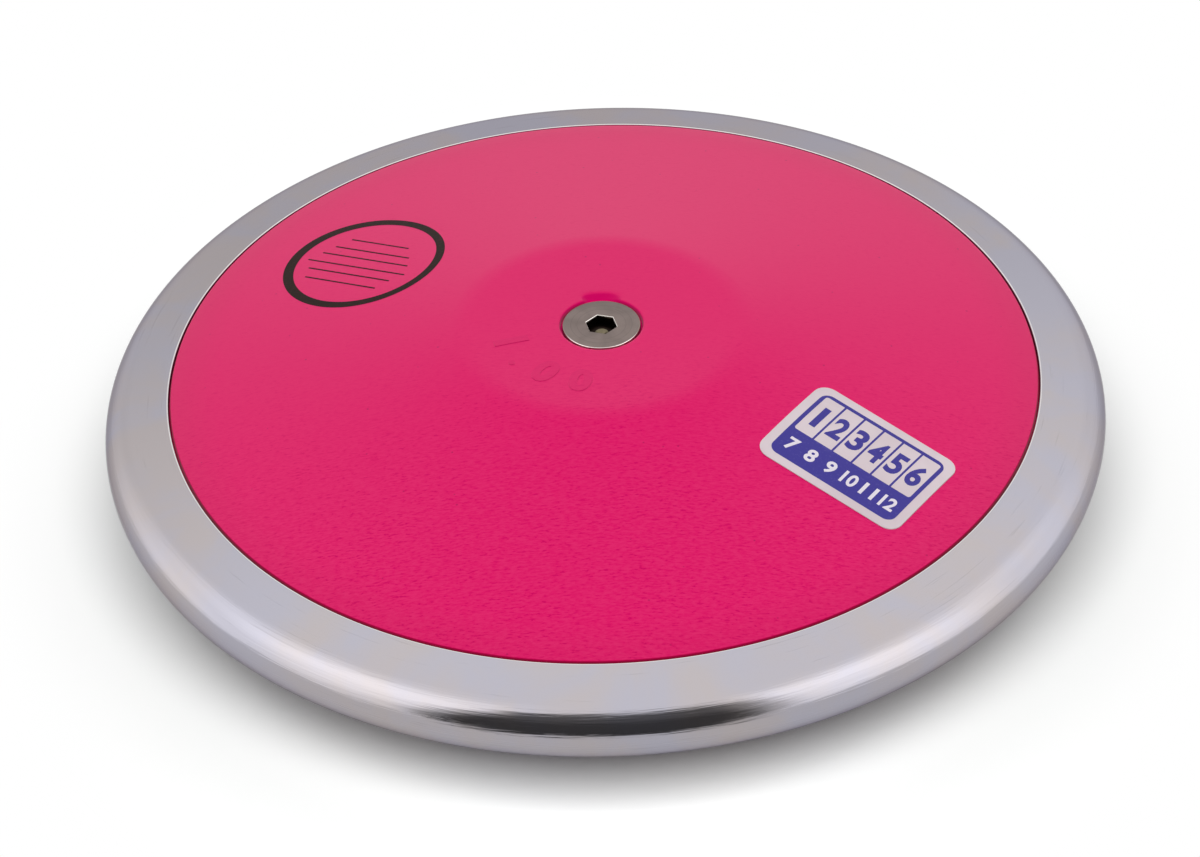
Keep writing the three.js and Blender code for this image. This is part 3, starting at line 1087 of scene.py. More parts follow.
@dataclass(frozen=True)
class Outline:
    """Section of the discus that both faces share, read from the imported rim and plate."""

    outer_radius: float
    half_height: float
    plate_radius: float
    flat_radius: float = 25.5 * MM
    edge_radius: float = 6.25 * MM
    blend_radius: float = 20 * MM
    seat_gap: float = 0.32 * MM
    plate_setback: float = 0.09 * MM

    @classmethod
    def from_frame(cls) -> Outline:
        """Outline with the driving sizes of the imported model."""
        rim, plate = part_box("rim")[1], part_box("top_plate")[1]
        return cls(rim.x, plate.z, plate.x - cls.plate_setback)

    @property
    def seat_radius(self) -> float:
        """Radius of the rim's seat, just outside the plate."""
        return self.plate_radius + self.seat_gap

    @property
    def edge_centre(self) -> float:
        """Radius at which the round edge has its centre."""
        return self.outer_radius - self.edge_radius

    @property
    def taper_normal(self) -> float:
        """Direction that the taper faces.

        Returns:
            Angle of its normal above the outward direction.
        """
        inward = self.flat_radius - self.edge_centre
        reach = math.hypot(inward, self.half_height)
        return math.atan2(self.half_height, inward) - math.acos(self.edge_radius / reach)

    @property
    def slope(self) -> float:
        """Fall of the taper for each step outwards."""
        return 1 / math.tan(self.taper_normal)

    @property
    def blend_start(self) -> float:
        """Radius at which the flat centre begins to bend down."""
        return self.flat_radius - self.blend_radius * math.tan((math.pi / 2 - self.taper_normal) / 2)

    def taper(self, radius: float) -> float:
        """Height of the straight taper at a radius."""
        return self.half_height - self.slope * (radius - self.flat_radius)

    def surface(self, radius: float) -> float:
        """Height of the plate's face at a radius.

        Args:
            radius: Distance from the axis.

        Returns:
            Height of the flat centre, the blend or the taper.
        """
        if radius <= self.blend_start:
            return self.half_height
        blend_end = self.blend_start + self.blend_radius * math.cos(self.taper_normal)
        if radius >= blend_end:
            return self.taper(radius)
        inner = radius - self.blend_start
        return self.half_height - self.blend_radius + math.sqrt(self.blend_radius**2 - inner**2)

    def corner(self, radius: float, rounding: float) -> Point:
        """Radius and height of the centre of a rounding that ends the taper."""
        return radius, self.taper(radius) - rounding / math.sin(self.taper_normal)


def ride(made: bpy.types.Object, slot: str, *replaced: str) -> None:
    """Declares a piece to the frame.

    Args:
        made: The piece.
        slot: Material slot of the record for the piece, which is only written to the log.
        replaced: Nodes that it stands for.
    """
    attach(made, BODY)
    if replaced:
        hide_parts(*replaced)
    faces = len(made.data.polygons)
    LOG.info("%s: %d faces, slot %s, stands for %s", made.name, faces, slot, replaced or "nothing")


# Sub-assemblies


@dataclass
class SteelRim:
    """Turned ring with a round edge, tapered shoulders and a web between the plates."""

    outline: Outline
    finish: Finish
    lip_rounding: float = 0.22 * MM
    web_inner_radius: float = 69 * MM
    web_thickness: float = 3.2 * MM
    web_chamfer: float = 0.5 * MM
    pins: DrivePins = DrivePins()
    edge_steps: int = 60
    taper_steps: int = 6
    lip_steps: int = 8
    segments: int = 288

    def upper_inside(self) -> list[Point]:
        """Section from the web's inner edge up the seat and over the lip.

        Returns:
            Points up to the start of the taper.
        """
        half = self.web_thickness / 2
        lip = self.outline.corner(self.outline.seat_radius + self.lip_rounding, self.lip_rounding)
        over = arc(lip, self.lip_rounding, math.pi, self.outline.taper_normal, self.lip_steps)
        web = [
            (self.web_inner_radius, half - self.web_chamfer),
            (self.web_inner_radius + self.web_chamfer, half),
            (self.outline.seat_radius, half),
        ]
        return web + over

    def section(self) -> list[Point]:
        """Closed section of the rim.

        Returns:
            Points, from the lower taper round the edge and back through the bore.
        """
        normal = self.outline.taper_normal
        centre = (self.outline.edge_centre, 0.0)
        edge = arc(centre, self.outline.edge_radius, -normal, normal, self.edge_steps)
        inside = self.upper_inside()
        taper = spread(edge[-1], inside[-1], self.taper_steps)
        upper = taper + inside[::-1]
        lower = [(radius, -height) for radius, height in upper[::-1]]
        return edge + upper + lower

    def build(self) -> None:
        """Turns the section and drills the pin holes."""
        ring = Workpiece()
        ring.revolve(self.section(), self.segments)
        made = ring.piece("rim_turned_ring", self.finish)
        self.drill(made)
        ride(made, "rim_steel", "rim")

    def drill(self, made: bpy.types.Object) -> None:
        """Cuts the holes for the drive pins through the web.

        Args:
            made: The rim, whose mesh is changed.
        """
        drills = Workpiece()
        radius, reach = self.pins.radius, self.web_thickness
        self.pins.add(drills, [(0.0, -reach), (radius, -reach), (radius, reach), (0.0, reach)])
        cutter = drills.piece("pin_hole_drills", self.finish)
        modifier = made.modifiers.new("pin_holes", "BOOLEAN")
        modifier.operation = "DIFFERENCE"
        modifier.solver = "EXACT"
        modifier.object = cutter
        depsgraph = bpy.context.evaluated_depsgraph_get()
        drilled = bpy.data.meshes.new_from_object(made.evaluated_get(depsgraph))
        made.modifiers.clear()
        made.data = drilled
        smooth(drilled)
        bpy.data.objects.remove(cutter)


@dataclass
class SidePlate:
    """Moulded plate with a counterbore, a boss, ribs, a skirt and pin sockets."""

    outline: Outline
    finish: Finish
    face: Face
    node: str
    edge_rounding: float = 0.30 * MM
    ledge_depth: float = 0.75 * MM
    ledge_reach: float = 0.24 * MM
    wall: float = 2.6 * MM
    skirt_wall: float = 2.8 * MM
    skirt_bottom: float = 2.6 * MM
    rib_depth: float = 4 * MM
    rib_wall: float = 2 * MM
    ribs: int = 8
    ring_rib_radius: float = 46 * MM
    boss_radius: float = 15 * MM
    boss_bottom: float = 10.4 * MM
    counterbore_radius: float = 7.42 * MM
    counterbore_floor: float = 13.45 * MM
    counterbore_round: float = 0.40 * MM
    shoulder_radius: float = 7.04 * MM
    shoulder_depth: float = 1.10 * MM
    bore_radius: float = 5.3 * MM
    flat_rings: tuple[float, ...] = (20, 18, 16, 14, 12.5, 11.4, 10.5, 9.8, 9.2, 8.7, 8.3, 8.0)
    pins: DrivePins = DrivePins()
    pin_boss_radius: float = 3.3 * MM
    pin_socket_depth: float = 3 * MM
    dent_reach: float = 1.9 * MM
    dent_zone: float = 0.5 * MM
    dent_depth: float = 0.80 * MM
    dent_slack: float = 0.001 * MM
    dent_power: int = 4
    dent_angle: float = math.radians(101)
    dent_left: float = math.radians(11)
    dent_right: float = math.radians(31)
    edge_steps: int = 8
    taper_steps: int = 14
    blend_steps: int = 10
    lip_steps: int = 5
    segments: int = 240

    def underside(self, radius: float) -> float:
        """Height of the skin's underside at a radius."""
        return min(self.outline.taper(radius), self.outline.half_height) - self.wall

    def outer_section(self) -> list[Point]:
        """Section of the faces that show, from the skirt's foot to the bore.

        Returns:
            Points of the skirt, the rounded edge, the taper, the blend, the flat and the counterbore.
        """
        shape = self.outline
        corner = shape.corner(shape.plate_radius - self.edge_rounding, self.edge_rounding)
        edge = arc(corner, self.edge_rounding, 0.0, shape.taper_normal, self.edge_steps)
        blend_centre = (shape.blend_start, shape.half_height - shape.blend_radius)
        blend = arc(blend_centre, shape.blend_radius, shape.taper_normal, math.pi / 2, self.blend_steps)
        top = shape.half_height
        flat = [(radius * MM, top) for radius in self.flat_rings]
        hole = (self.counterbore_radius + self.counterbore_round, top - self.counterbore_round)
        lip = arc(hole, self.counterbore_round, math.pi / 2, math.pi, self.lip_steps)
        ledge = corner[1] - self.ledge_depth
        return [
            (shape.plate_radius + self.ledge_reach, self.skirt_bottom),
            (shape.plate_radius + self.ledge_reach, ledge),
            (shape.plate_radius, ledge),
            *edge,
            *spread(edge[-1], blend[0], self.taper_steps),
            *blend,
            *flat,
            *lip,
            (self.counterbore_radius, top - self.shoulder_depth),
            (self.shoulder_radius, top - self.shoulder_depth),
            (self.shoulder_radius, self.counterbore_floor),
            (self.bore_radius, self.counterbore_floor),
            (self.bore_radius, self.boss_bottom),
        ]

    def inner_section(self) -> list[Point]:
        """Section of the hidden side, with the ring rib.

        Returns:
            Points from the boss's foot out to the skirt's foot.
        """
        rib_in = self.ring_rib_radius - self.rib_wall / 2
        rib_out = self.ring_rib_radius + self.rib_wall / 2
        skirt = self.outline.plate_radius - self.skirt_wall
        flat = self.outline.flat_radius
        return [
            (self.boss_radius, self.boss_bottom),
            (self.boss_radius, self.underside(self.boss_radius)),
            (flat, self.underside(flat)),
            (rib_in, self.underside(rib_in)),
            (rib_in, self.underside(rib_in) - self.rib_depth),
            (rib_out, self.underside(rib_out) - self.rib_depth),
            (rib_out, self.underside(rib_out)),
            (skirt, self.underside(skirt)),
            (skirt, self.skirt_bottom),
        ]

    def add_ribs(self, plate: Workpiece) -> None:
        """Adds the radial ribs.

        Args:
            plate: Mesh that gets them.
        """
        inner = self.boss_radius - self.rib_wall / 2
        outer = self.outline.plate_radius - self.skirt_wall / 2
        flat = self.outline.flat_radius
        low = [(inner, self.underside(inner) - self.rib_depth), (flat, self.underside(flat) - self.rib_depth)]
        foot = [(outer, self.skirt_bottom), (outer, self.underside(outer) + self.wall / 2)]
        high = [(flat, self.underside(flat) + self.wall / 2), (inner, self.underside(inner) + self.wall / 2)]
        for rib in range(self.ribs):
            turn = Matrix.Rotation((rib + 0.5) * 2 * math.pi / self.ribs, 4, "Z")
            side = Vector((0.0, -self.rib_wall / 2, 0.0))
            corners = [turn @ (Vector((radius, 0.0, height)) + side) for radius, height in low + foot + high]
            plate.slab(corners, turn.to_3x3() @ Vector((0.0, self.rib_wall, 0.0)))

    def add_pin_bosses(self, plate: Workpiece) -> None:
        """Adds the four bosses that the drive pins enter.

        Args:
            plate: Mesh that gets them.
        """
        top = self.underside(self.pins.centre_radius + self.pin_boss_radius) + self.wall / 2
        socket_top = self.skirt_bottom + self.pin_socket_depth
        section = [
            (0.0, socket_top),
            (self.pins.radius, socket_top),
            (self.pins.radius, self.skirt_bottom),
            (self.pin_boss_radius, self.skirt_bottom),
            (self.pin_boss_radius, top),
            (0.0, top),
        ]
        self.pins.add(plate, section)

    def dent(self, plate: Workpiece) -> None:
        """Sinks the edge of the counterbore on one side, as on the real moulding.

        Args:
            plate: Mesh whose points near the edge move down.
        """
        lowest = self.outline.half_height - self.dent_zone
        for vert in plate.mesh.verts:
            past = math.hypot(vert.co.x, vert.co.y) - self.counterbore_radius
            if vert.co.z < lowest or not -self.dent_slack < past < self.dent_reach:
                continue
            turn = math.atan2(vert.co.y, vert.co.x) - self.dent_angle
            half_width = self.dent_left if turn > 0 else self.dent_right
            share = math.exp(-((turn / half_width) ** self.dent_power)) * (1 - past / self.dent_reach)
            vert.co.z -= self.dent_depth * share

    def build(self) -> None:
        """Builds the plate and turns it to its face."""
        plate = Workpiece()
        plate.revolve(self.outer_section() + self.inner_section(), self.segments)
        self.dent(plate)
        self.add_ribs(plate)
        self.add_pin_bosses(plate)
        plate.turn(self.face.turn())
        made = plate.piece(f"{self.face.value}_plate_moulding", self.finish)
        ride(made, "pink_plastic", self.node)


@dataclass
class WeightDigits:
    """Plain number that stands proud on the flat centre, on an arc round the bolt."""

    outline: Outline
    finish: Finish
    face: Face
    text: str = "1.00"
    angles: tuple[float, ...] = (-166.0, -147.0, -127.5, -104.0)
    radius: float = 16.7 * MM
    height: float = 6.3 * MM
    widest: float = 4.2 * MM
    dot: float = 1.2 * MM
    weight: float = 0.05
    proud: float = 0.07 * MM
    rooted: float = 0.05 * MM

    def lay(self, u: float, v: float, turn: float, lift: float) -> Vector:
        """Lays a plan point on the flat centre.

        Args:
            u: Place across the digit.
            v: Place up the digit.
            turn: Turn of the digit in radians.
            lift: Height above the plate.

        Returns:
            The place.
        """
        out = v - self.radius
        x = u * math.cos(turn) - out * math.sin(turn)
        y = u * math.sin(turn) + out * math.cos(turn)
        return Vector((x, y, self.outline.surface(math.hypot(x, y)) + lift))

    def build(self) -> None:
        """Lays each digit on its angle, with its head to the bolt."""
        number = Workpiece()
        plan = Plan()
        for digit, angle in zip(self.text, self.angles):
            size = self.dot if digit == "." else self.height
            drop = (self.height - self.dot) / 2 if digit == "." else 0.0
            shape = plan.digits(digit, size, (0.0, -drop), self.widest, self.weight)
            turned = partial(self.lay, turn=math.radians(angle + 90))
            number.sheet(shape, partial(turned, lift=self.proud), partial(turned, lift=-self.rooted))
        number.turn(self.face.turn())
        made = number.piece(f"{self.face.value}_plate_weight_digits", self.finish)
        ride(made, "pink_plastic")


@dataclass
class HexFastener:
    """Flat round head with a hex socket, and the shape below it."""

    BURR_ROW = 5

    outline: Outline
    finish: Finish
    burr: Finish
    hex_angle: float
    head_radius: float = 6.98 * MM
    head_thickness: float = 3.2 * MM
    head_rounding: float = 0.17 * MM
    recess: float = 0.15 * MM
    across_flats: float = 5 * MM
    hex_depth: float = 1.9 * MM
    hex_burr: float = 0.10 * MM
    floor_share: float = 0.98
    drill_radius: float = 1.3 * MM
    tip_depth: float = 0.8 * MM
    face_rings: tuple[float, ...] = (3.6 * MM, 5.2 * MM)
    rounding_steps: int = 6
    segments: int = 96

    @property
    def top(self) -> float:
        """Height of the head's outer face."""
        return self.outline.half_height - self.recess

    def hexagon(self, across: float, height: float) -> list[Vector]:
        """Ring of points on a hexagon.

        Args:
            across: Distance across the flats.
            height: Height of the ring.

        Returns:
            Points, with one on each corner.
        """
        points = []
        for step in range(self.segments):
            from_corner = 2 * math.pi * step / self.segments
            from_flat = from_corner % (math.pi / 3) - math.pi / 6
            radius = across / 2 / math.cos(from_flat)
            points.append(polar(radius, from_corner + self.hex_angle, height))
        return points

    def level(self, radius: float, height: float) -> list[Vector]:
        """Ring of points on a circle, in step with the hexagon."""
        return circle(radius, height, self.segments, self.hex_angle)

    def head_rings(self) -> list[list[Vector]]:
        """Rings of the socket and the head, from the drilled tip to the underside.

        Returns:
            Rings in order.
        """
        top, floor = self.top, self.top - self.hex_depth
        rounding = (self.head_radius - self.head_rounding, top - self.head_rounding)
        edge = arc(rounding, self.head_rounding, math.pi / 2, 0.0, self.rounding_steps)
        return [
            self.level(0.0, floor - self.tip_depth),
            self.level(self.drill_radius / 2, floor - self.tip_depth / 2),
            self.level(self.drill_radius, floor),
            self.level(self.across_flats / 2 * self.floor_share, floor),
            self.hexagon(self.across_flats, floor),
            self.hexagon(self.across_flats, top - self.hex_burr),
            self.hexagon(self.across_flats + 2 * self.hex_burr, top),
            *[self.level(radius, top) for radius in self.face_rings],
            *[self.level(radius, height) for radius, height in edge],
            self.level(self.head_radius, top - self.head_thickness),
        ]


@dataclass
class CentreBolt(HexFastener):
    """Bolt with a threaded shank."""

    shank_radius: float = 4 * MM
    shank_length: float = 24 * MM
    pitch: float = 1.25 * MM
    pitch_steps: int = 8
    thread_depth: float = 0.65 * MM
    tip_chamfer: float = 0.1 * MM
    plain_length: float = 6 * MM

    def thread_rings(self) -> list[list[Vector]]:
        """Rings of the shank, whose radius follows a helix.

        Returns:
            Rings from the head's underside to the tip.
        """
        underside = self.top - self.head_thickness
        steps = self.pitch_steps
        start = underside - self.plain_length
        end = underside - self.shank_length
        rings = [self.level(self.shank_radius, underside), self.level(self.shank_radius, start)]
        count = int((start - end) / self.pitch * steps)
        for row in range(1, count):
            height = start - row * self.pitch / steps
            fade = min(1.0, row / steps, (count - row) / steps)
            ring = []
            for step in range(self.segments):
                share = (row / steps + step / self.segments) % 1.0
                cut = self.thread_depth * fade * (1 - abs(2 * share - 1))
                angle = 2 * math.pi * step / self.segments + self.hex_angle
                ring.append(polar(self.shank_radius - cut, angle, height))
            rings.append(ring)
        chamfer = (self.shank_radius - self.tip_chamfer, end + self.tip_chamfer)
        tip = [chamfer, (self.shank_radius - self.thread_depth, end), (0.0, end)]
        return rings + [self.level(radius, height) for radius, height in tip]

    def build(self) -> None:
        """Builds the bolt."""
        bolt = Workpiece()
        bolt.loft(self.head_rings() + self.thread_rings(), accent=self.BURR_ROW)
        made = bolt.piece("centre_bolt_turned", self.finish, self.burr)
        ride(made, "bolt_steel", "centre_bolt")


@dataclass
class BarrelNut(HexFastener):
    """Nut with a long barrel, with its head on the lower face."""

    barrel_radius: float = 5 * MM
    barrel_bore: float = 4.2 * MM
    barrel_length: float = 28 * MM
    barrel_floor: float = 6 * MM
    barrel_chamfer: float = 0.3 * MM

    def build(self) -> None:
        """Builds the nut head up and turns it over."""
        underside = self.top - self.head_thickness
        end = underside - self.barrel_length
        floor = underside - self.barrel_floor
        barrel = [
            (self.barrel_radius, underside),
            (self.barrel_radius, end + self.barrel_chamfer),
            (self.barrel_radius - self.barrel_chamfer, end),
            (self.barrel_bore + self.barrel_chamfer, end),
            (self.barrel_bore, end + self.barrel_chamfer),
            (self.barrel_bore, floor),
            (0.0, floor),
        ]
        rings = self.head_rings() + [self.level(radius, height) for radius, height in barrel]
        nut = Workpiece()
        nut.loft(rings, accent=self.BURR_ROW)
        nut.turn(Face.LOWER.turn())
        made = nut.piece("barrel_nut_turned", self.finish, self.burr)
        ride(made, "bolt_steel", "barrel_nut")


@dataclass
class OnTaper:
    """A place on the upper taper, with its first axis outwards and its second one round the axis."""

    outline: Outline
    centre_radius: float
    angle: float
    sharp: float = 50.0

    def at(self, lift: float) -> Placer:
        """Rule that lays plan points on the taper.

        Args:
            lift: Height above the plate.

        Returns:
            Function from a plan point to its place.
        """
        out = Vector((math.cos(self.angle), math.sin(self.angle)))
        round_axis = Vector((-out.y, out.x))
        centre = out * self.centre_radius

        def place(u: float, v: float) -> Vector:
            """Place of a plan point on the taper."""
            spot = centre + out * u + round_axis * v
            return Vector((spot.x, spot.y, self.outline.surface(spot.length) + lift))

        return place

    def lay(self, name: str, finish: Finish, low: float, high: float, shapes: list[Shape], *ids: str) -> None:
        """Lays film or print of one colour.

        Args:
            name: Name of the piece.
            finish: Its finish.
            low: Height of its underside above the plate.
            high: Height of its upper side.
            shapes: Plans as points and faces.
            ids: Material slot of the record, and the nodes that the piece stands for.
        """
        layer = Workpiece()
        for shape in shapes:
            layer.sheet(shape, self.at(high), self.at(low))
        ride(layer.piece(name, finish, sharp=self.sharp), *ids)


@dataclass
class Sticker:
    """Vinyl sticker with a plain numbered table, such as one for monthly weight checks."""

    outline: Outline
    finishes: FinishSet
    length: float = 28.8 * MM
    width: float = 21.8 * MM
    corner: float = 2.6 * MM
    centre_radius: float = 54.7 * MM
    angle: float = math.radians(-37)
    film_bottom: float = 0.02 * MM
    film_top: float = 0.17 * MM
    print_top: float = 0.19 * MM
    over_print_top: float = 0.21 * MM
    margin: float = 1.7 * MM
    line: float = 0.75 * MM
    thin_line: float = 0.38 * MM
    columns: int = 6
    lower_row: float = 6.4 * MM
    hole_corner: float = 0.5 * MM
    bar_overlap: float = 0.1 * MM
    upper_height: float = 5.6 * MM
    upper_share: float = 0.68
    upper_weight: float = 0.035
    lower_height: float = 3.1 * MM
    lower_share: float = 0.72
    lower_weight: float = 0.03
    plan: Plan = Plan()

    @property
    def frame_size(self) -> tuple[float, float]:
        """Length and width of the printed frame."""
        return self.length - 2 * self.margin, self.width - 2 * self.margin

    @property
    def cell(self) -> float:
        """Width of a column of the table."""
        return (self.frame_size[0] - 2 * self.line) / self.columns

    def numbers(self, first: int, middle: float, height: float, share: float, weight: float) -> list[Shape]:
        """One row of numbers.

        Args:
            first: First number.
            middle: Place of the row across the sticker.
            height: Height of the digits.
            share: Greatest width of a number, as a share of its column.
            weight: Thickening of the strokes.

        Returns:
            Plans as points and faces.
        """
        shapes = []
        for column in range(self.columns):
            centre = ((column + 0.5 - self.columns / 2) * self.cell, middle)
            shapes.append(self.plan.digits(str(first + column), height, centre, self.cell * share, weight))
        return shapes

    def navy_shapes(self) -> list[Shape]:
        """Frame, lower band, column lines and the upper row of numbers.

        Returns:
            Plans as points and faces.
        """
        length, width = self.frame_size
        corner = self.corner - self.margin / 2
        hole_width = width - 2 * self.line - self.lower_row
        middle = self.lower_row / 2
        hole = self.plan.rounded(length - 2 * self.line, hole_width, self.hole_corner, (0.0, middle))
        shapes = [self.plan.fill([self.plan.rounded(length, width, corner), hole])]
        for column in range(1, self.columns):
            place = ((column - self.columns / 2) * self.cell, middle)
            bar = self.plan.rounded(self.thin_line, hole_width + self.bar_overlap, self.bar_overlap, place)
            shapes.append(self.plan.fill([bar]))
        return shapes + self.numbers(1, middle, self.upper_height, self.upper_share, self.upper_weight)

    def white_shapes(self) -> list[Shape]:
        """Lower row of numbers.

        Returns:
            Plans as points and faces.
        """
        row_centre = -self.frame_size[1] / 2 + (self.lower_row + self.line) / 2
        size = (self.lower_height, self.lower_share, self.lower_weight)
        return self.numbers(self.columns + 1, row_centre, *size)

    def build(self) -> None:
        """Builds the film and its two print colours."""
        spot, inks = OnTaper(self.outline, self.centre_radius, self.angle), self.finishes
        film = [self.plan.fill([self.plan.rounded(self.length, self.width, self.corner)])]
        low, middle, high, highest = self.film_bottom, self.film_top, self.print_top, self.over_print_top
        spot.lay("sticker_film_sheet", inks.vinyl, low, middle, film, "label_vinyl", "label")
        spot.lay("sticker_navy_print", inks.navy, middle, high, self.navy_shapes(), "label_vinyl")
        spot.lay("sticker_white_print", inks.white, high, highest, self.white_shapes(), "label_vinyl")


@dataclass
class OwnerPanel:
    """Printed ring with six ruled lines for writing on."""

    outline: Outline
    finish: Finish
    centre_radius: float = 52.4 * MM
    angle: float = math.radians(146)
    radius: float = 15.15 * MM
    ring_width: float = 1.78 * MM
    ring_shift: float = 0.22 * MM
    rows: tuple[tuple[float, float, float], ...] = (
        (6.2, 0.6, 13.0),
        (3.2, 0.3, 16.8),
        (0.7, 0.2, 19.4),
        (-2.1, 0.3, 22.0),
        (-4.6, 0.2, 18.4),
        (-7.4, 0.2, 16.0),
    )
    row_line: float = 0.34 * MM
    row_corner: float = 0.153 * MM
    ink_bottom: float = 0.004 * MM
    ink_top: float = 0.025 * MM
    plan: Plan = Plan()

    def build(self) -> None:
        """Lays the ring and the lines on the taper."""
        spot = OnTaper(self.outline, self.centre_radius, self.angle)
        inner = self.plan.round(self.radius - self.ring_width, (-self.ring_shift, 0.0))
        shapes = [self.plan.fill([self.plan.round(self.radius), inner])]
        for row, shift, length in self.rows:
            line = self.plan.rounded(length * MM, self.row_line, self.row_corner, (shift * MM, -row * MM))
            shapes.append(self.plan.fill([line]))
        spot.lay("owner_panel_print", self.finish, self.ink_bottom, self.ink_top, shapes, "black_rubber")


@dataclass
class HiddenStack:
    """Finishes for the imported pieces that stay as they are."""

    finishes: FinishSet

    def dress(self) -> None:
        """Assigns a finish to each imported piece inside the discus."""
        pins = [f"drive_pin_{pin}" for pin in range(1, 5)]
        shims = [f"trim_shim_{shim}" for shim in range(1, 4)]
        groups = {
            self.finishes.washer: ["plain_washer"],
            self.finishes.spring: ["spring_washer", *pins],
            self.finishes.core: ["hub_core", "upper_backing_disc", "lower_backing_disc", *shims],
            self.finishes.rubber: ["upper_gasket", "lower_gasket"],
        }
        for finish, names in groups.items():
            for name in names:
                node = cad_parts[name]
                for slot in node.material_slots:
                    slot.material = finish.material()
                LOG.info("%s: packed piece, finish %s", name, finish.name)


# Studio


def front_place(elevation: float, distance: float) -> Vector:
    """Place in front of the discus, at an elevation in degrees and a distance."""
    tilt = math.radians(elevation)
    return Vector((0.0, -math.cos(tilt), math.sin(tilt))) * distance


